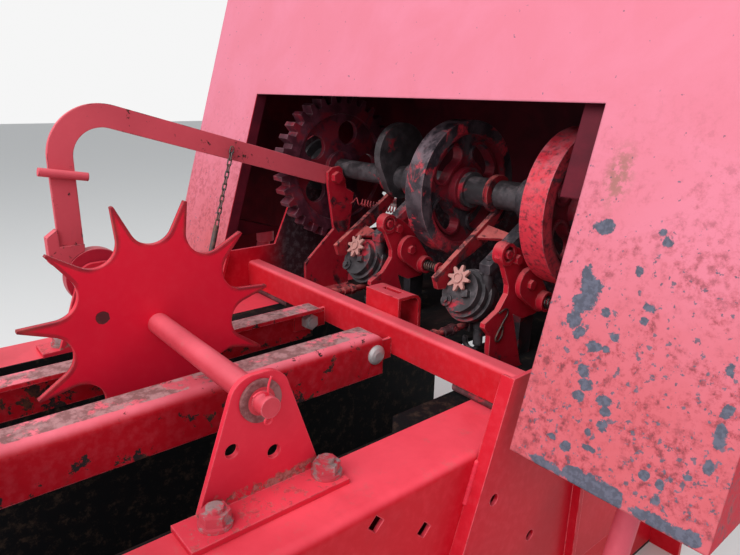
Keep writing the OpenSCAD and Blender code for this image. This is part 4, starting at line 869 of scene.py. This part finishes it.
# Y and Z of the split pin's wires: the eye from the shaft's underside, the legs from its top
COTTER_EYE = [(0.001, 0), (0.0035, -0.003), (0.0025, -0.007), (-0.001, -0.008), (-0.0035, -0.005),
              (-0.001, -0.001)]
COTTER_LEGS = {
    "_leg_a": [(-0.001, 0.001), (-0.004, 0.004), (-0.010, 0.004), (-0.014, 0.002)],
    "_leg_b": [(0.001, 0.004), (0.002, 0.010), (0.005, 0.017)],
}


def cotter_pin(name, x, y, z, reach, material, body):
    """Split pin through a shaft's end at (x, y, z): an eye below, and two bent legs above."""
    eye = [(y + dy, z - reach + dz) for dy, dz in COTTER_EYE]
    wire(name + "_eye", in_plane(x, eye), COTTER_WIRE, material, body)
    for leg, points in COTTER_LEGS.items():
        inside = (y + points[0][0], z + reach * 0.8)
        shown = [(y + dy, z + reach + dz) for dy, dz in points]
        wire(name + leg, in_plane(x, [inside, *shown]), COTTER_WIRE, material, body)


def front_shade_sheet(name, half, y, low, high, thick, lip, material, body):
    """Bent sheet that stands on the chamber's cover and closes the front between the side plates; near
    black, it puts painted shade in the dark gap behind the knotters.
    """
    profile = [(y, low), (y - lip, low), (y - lip, low + thick), (y - thick, low + thick),
               (y - thick, high - thick), (y - lip, high - thick), (y - lip, high), (y, high)]
    mesh = bmesh.new()
    ends = [[mesh.verts.new((x, *at)) for at in profile] for x in (-half, half)]
    mesh.faces.new(ends[0])
    mesh.faces.new(reversed(ends[1]))
    for k in range(len(profile)):
        after = (k + 1) % len(profile)
        mesh.faces.new((ends[0][after], ends[0][k], ends[1][k], ends[1][after]))
    add_mesh(name, mesh, material, body)


# Y and Z of the hairpin's bends, in a plane at one X
HAIRPIN = [(0.071, 0.478), (0.087, 0.480), (0.0895, 0.4765), (0.080, 0.462), (0.070, 0.448), (0.0675, 0.442),
           (0.071, 0.438), (0.077, 0.440), (0.0815, 0.452), (0.080, 0.459)]
HAIRPIN_X = 0.2145
HAIRPIN_WIRE = 0.0013
# The leaning strip on the right side plate, Y and Z of its top, and its weld
STRIP_TOP = (-0.048, 0.465)
STRIP_LEAN = 0.3327
WELD_X = 0.3155
WELD_HEIGHTS = (0.372, 0.322)
WELD_RADIUS = 0.0035
# The front sheet reaches to the side plates and stands a little behind the cover's front edge
FRONT_HALF = 0.3268
FRONT_SETBACK = 0.02
FRONT_TOP = 0.552
FRONT_THICK = 0.003
FRONT_LIP = 0.012
# How far in from the wheel shaft's end its split pin sits, and how far from the axis its wires come out
COTTER_INSET = 0.006
COTTER_REACH = 0.0105


def add_small_pieces(materials):
    wire("hairpin", in_plane(HAIRPIN_X, HAIRPIN), HAIRPIN_WIRE, materials["spring"], "root")
    ends = [(WELD_X, STRIP_TOP[0] + (z - STRIP_TOP[1]) * STRIP_LEAN, z) for z in WELD_HEIGHTS]
    weld_bead("strip_weld", *ends, WELD_RADIUS, materials["bracket"], "root")
    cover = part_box("chamber_cover")[1]
    front_shade_sheet("front_shade_sheet", FRONT_HALF, cover[1] - FRONT_SETBACK, cover[2], FRONT_TOP, FRONT_THICK,
                FRONT_LIP, materials["sheet"], "root")
    shaft_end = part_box("wheel_shaft")[1][0]
    cotter_pin("wheel_cotter", shaft_end - COTTER_INSET, *WHEEL_AT, COTTER_REACH, materials["bracket"],
               "metering_wheel")


bpy.context.scene.view_settings.view_transform = "Standard"
make_camera()
make_floor()
make_world()
for light in LIGHTS:
    area_light(*light)
finishes = make_materials()
dress_nodes(finishes)
add_small_pieces(finishes)
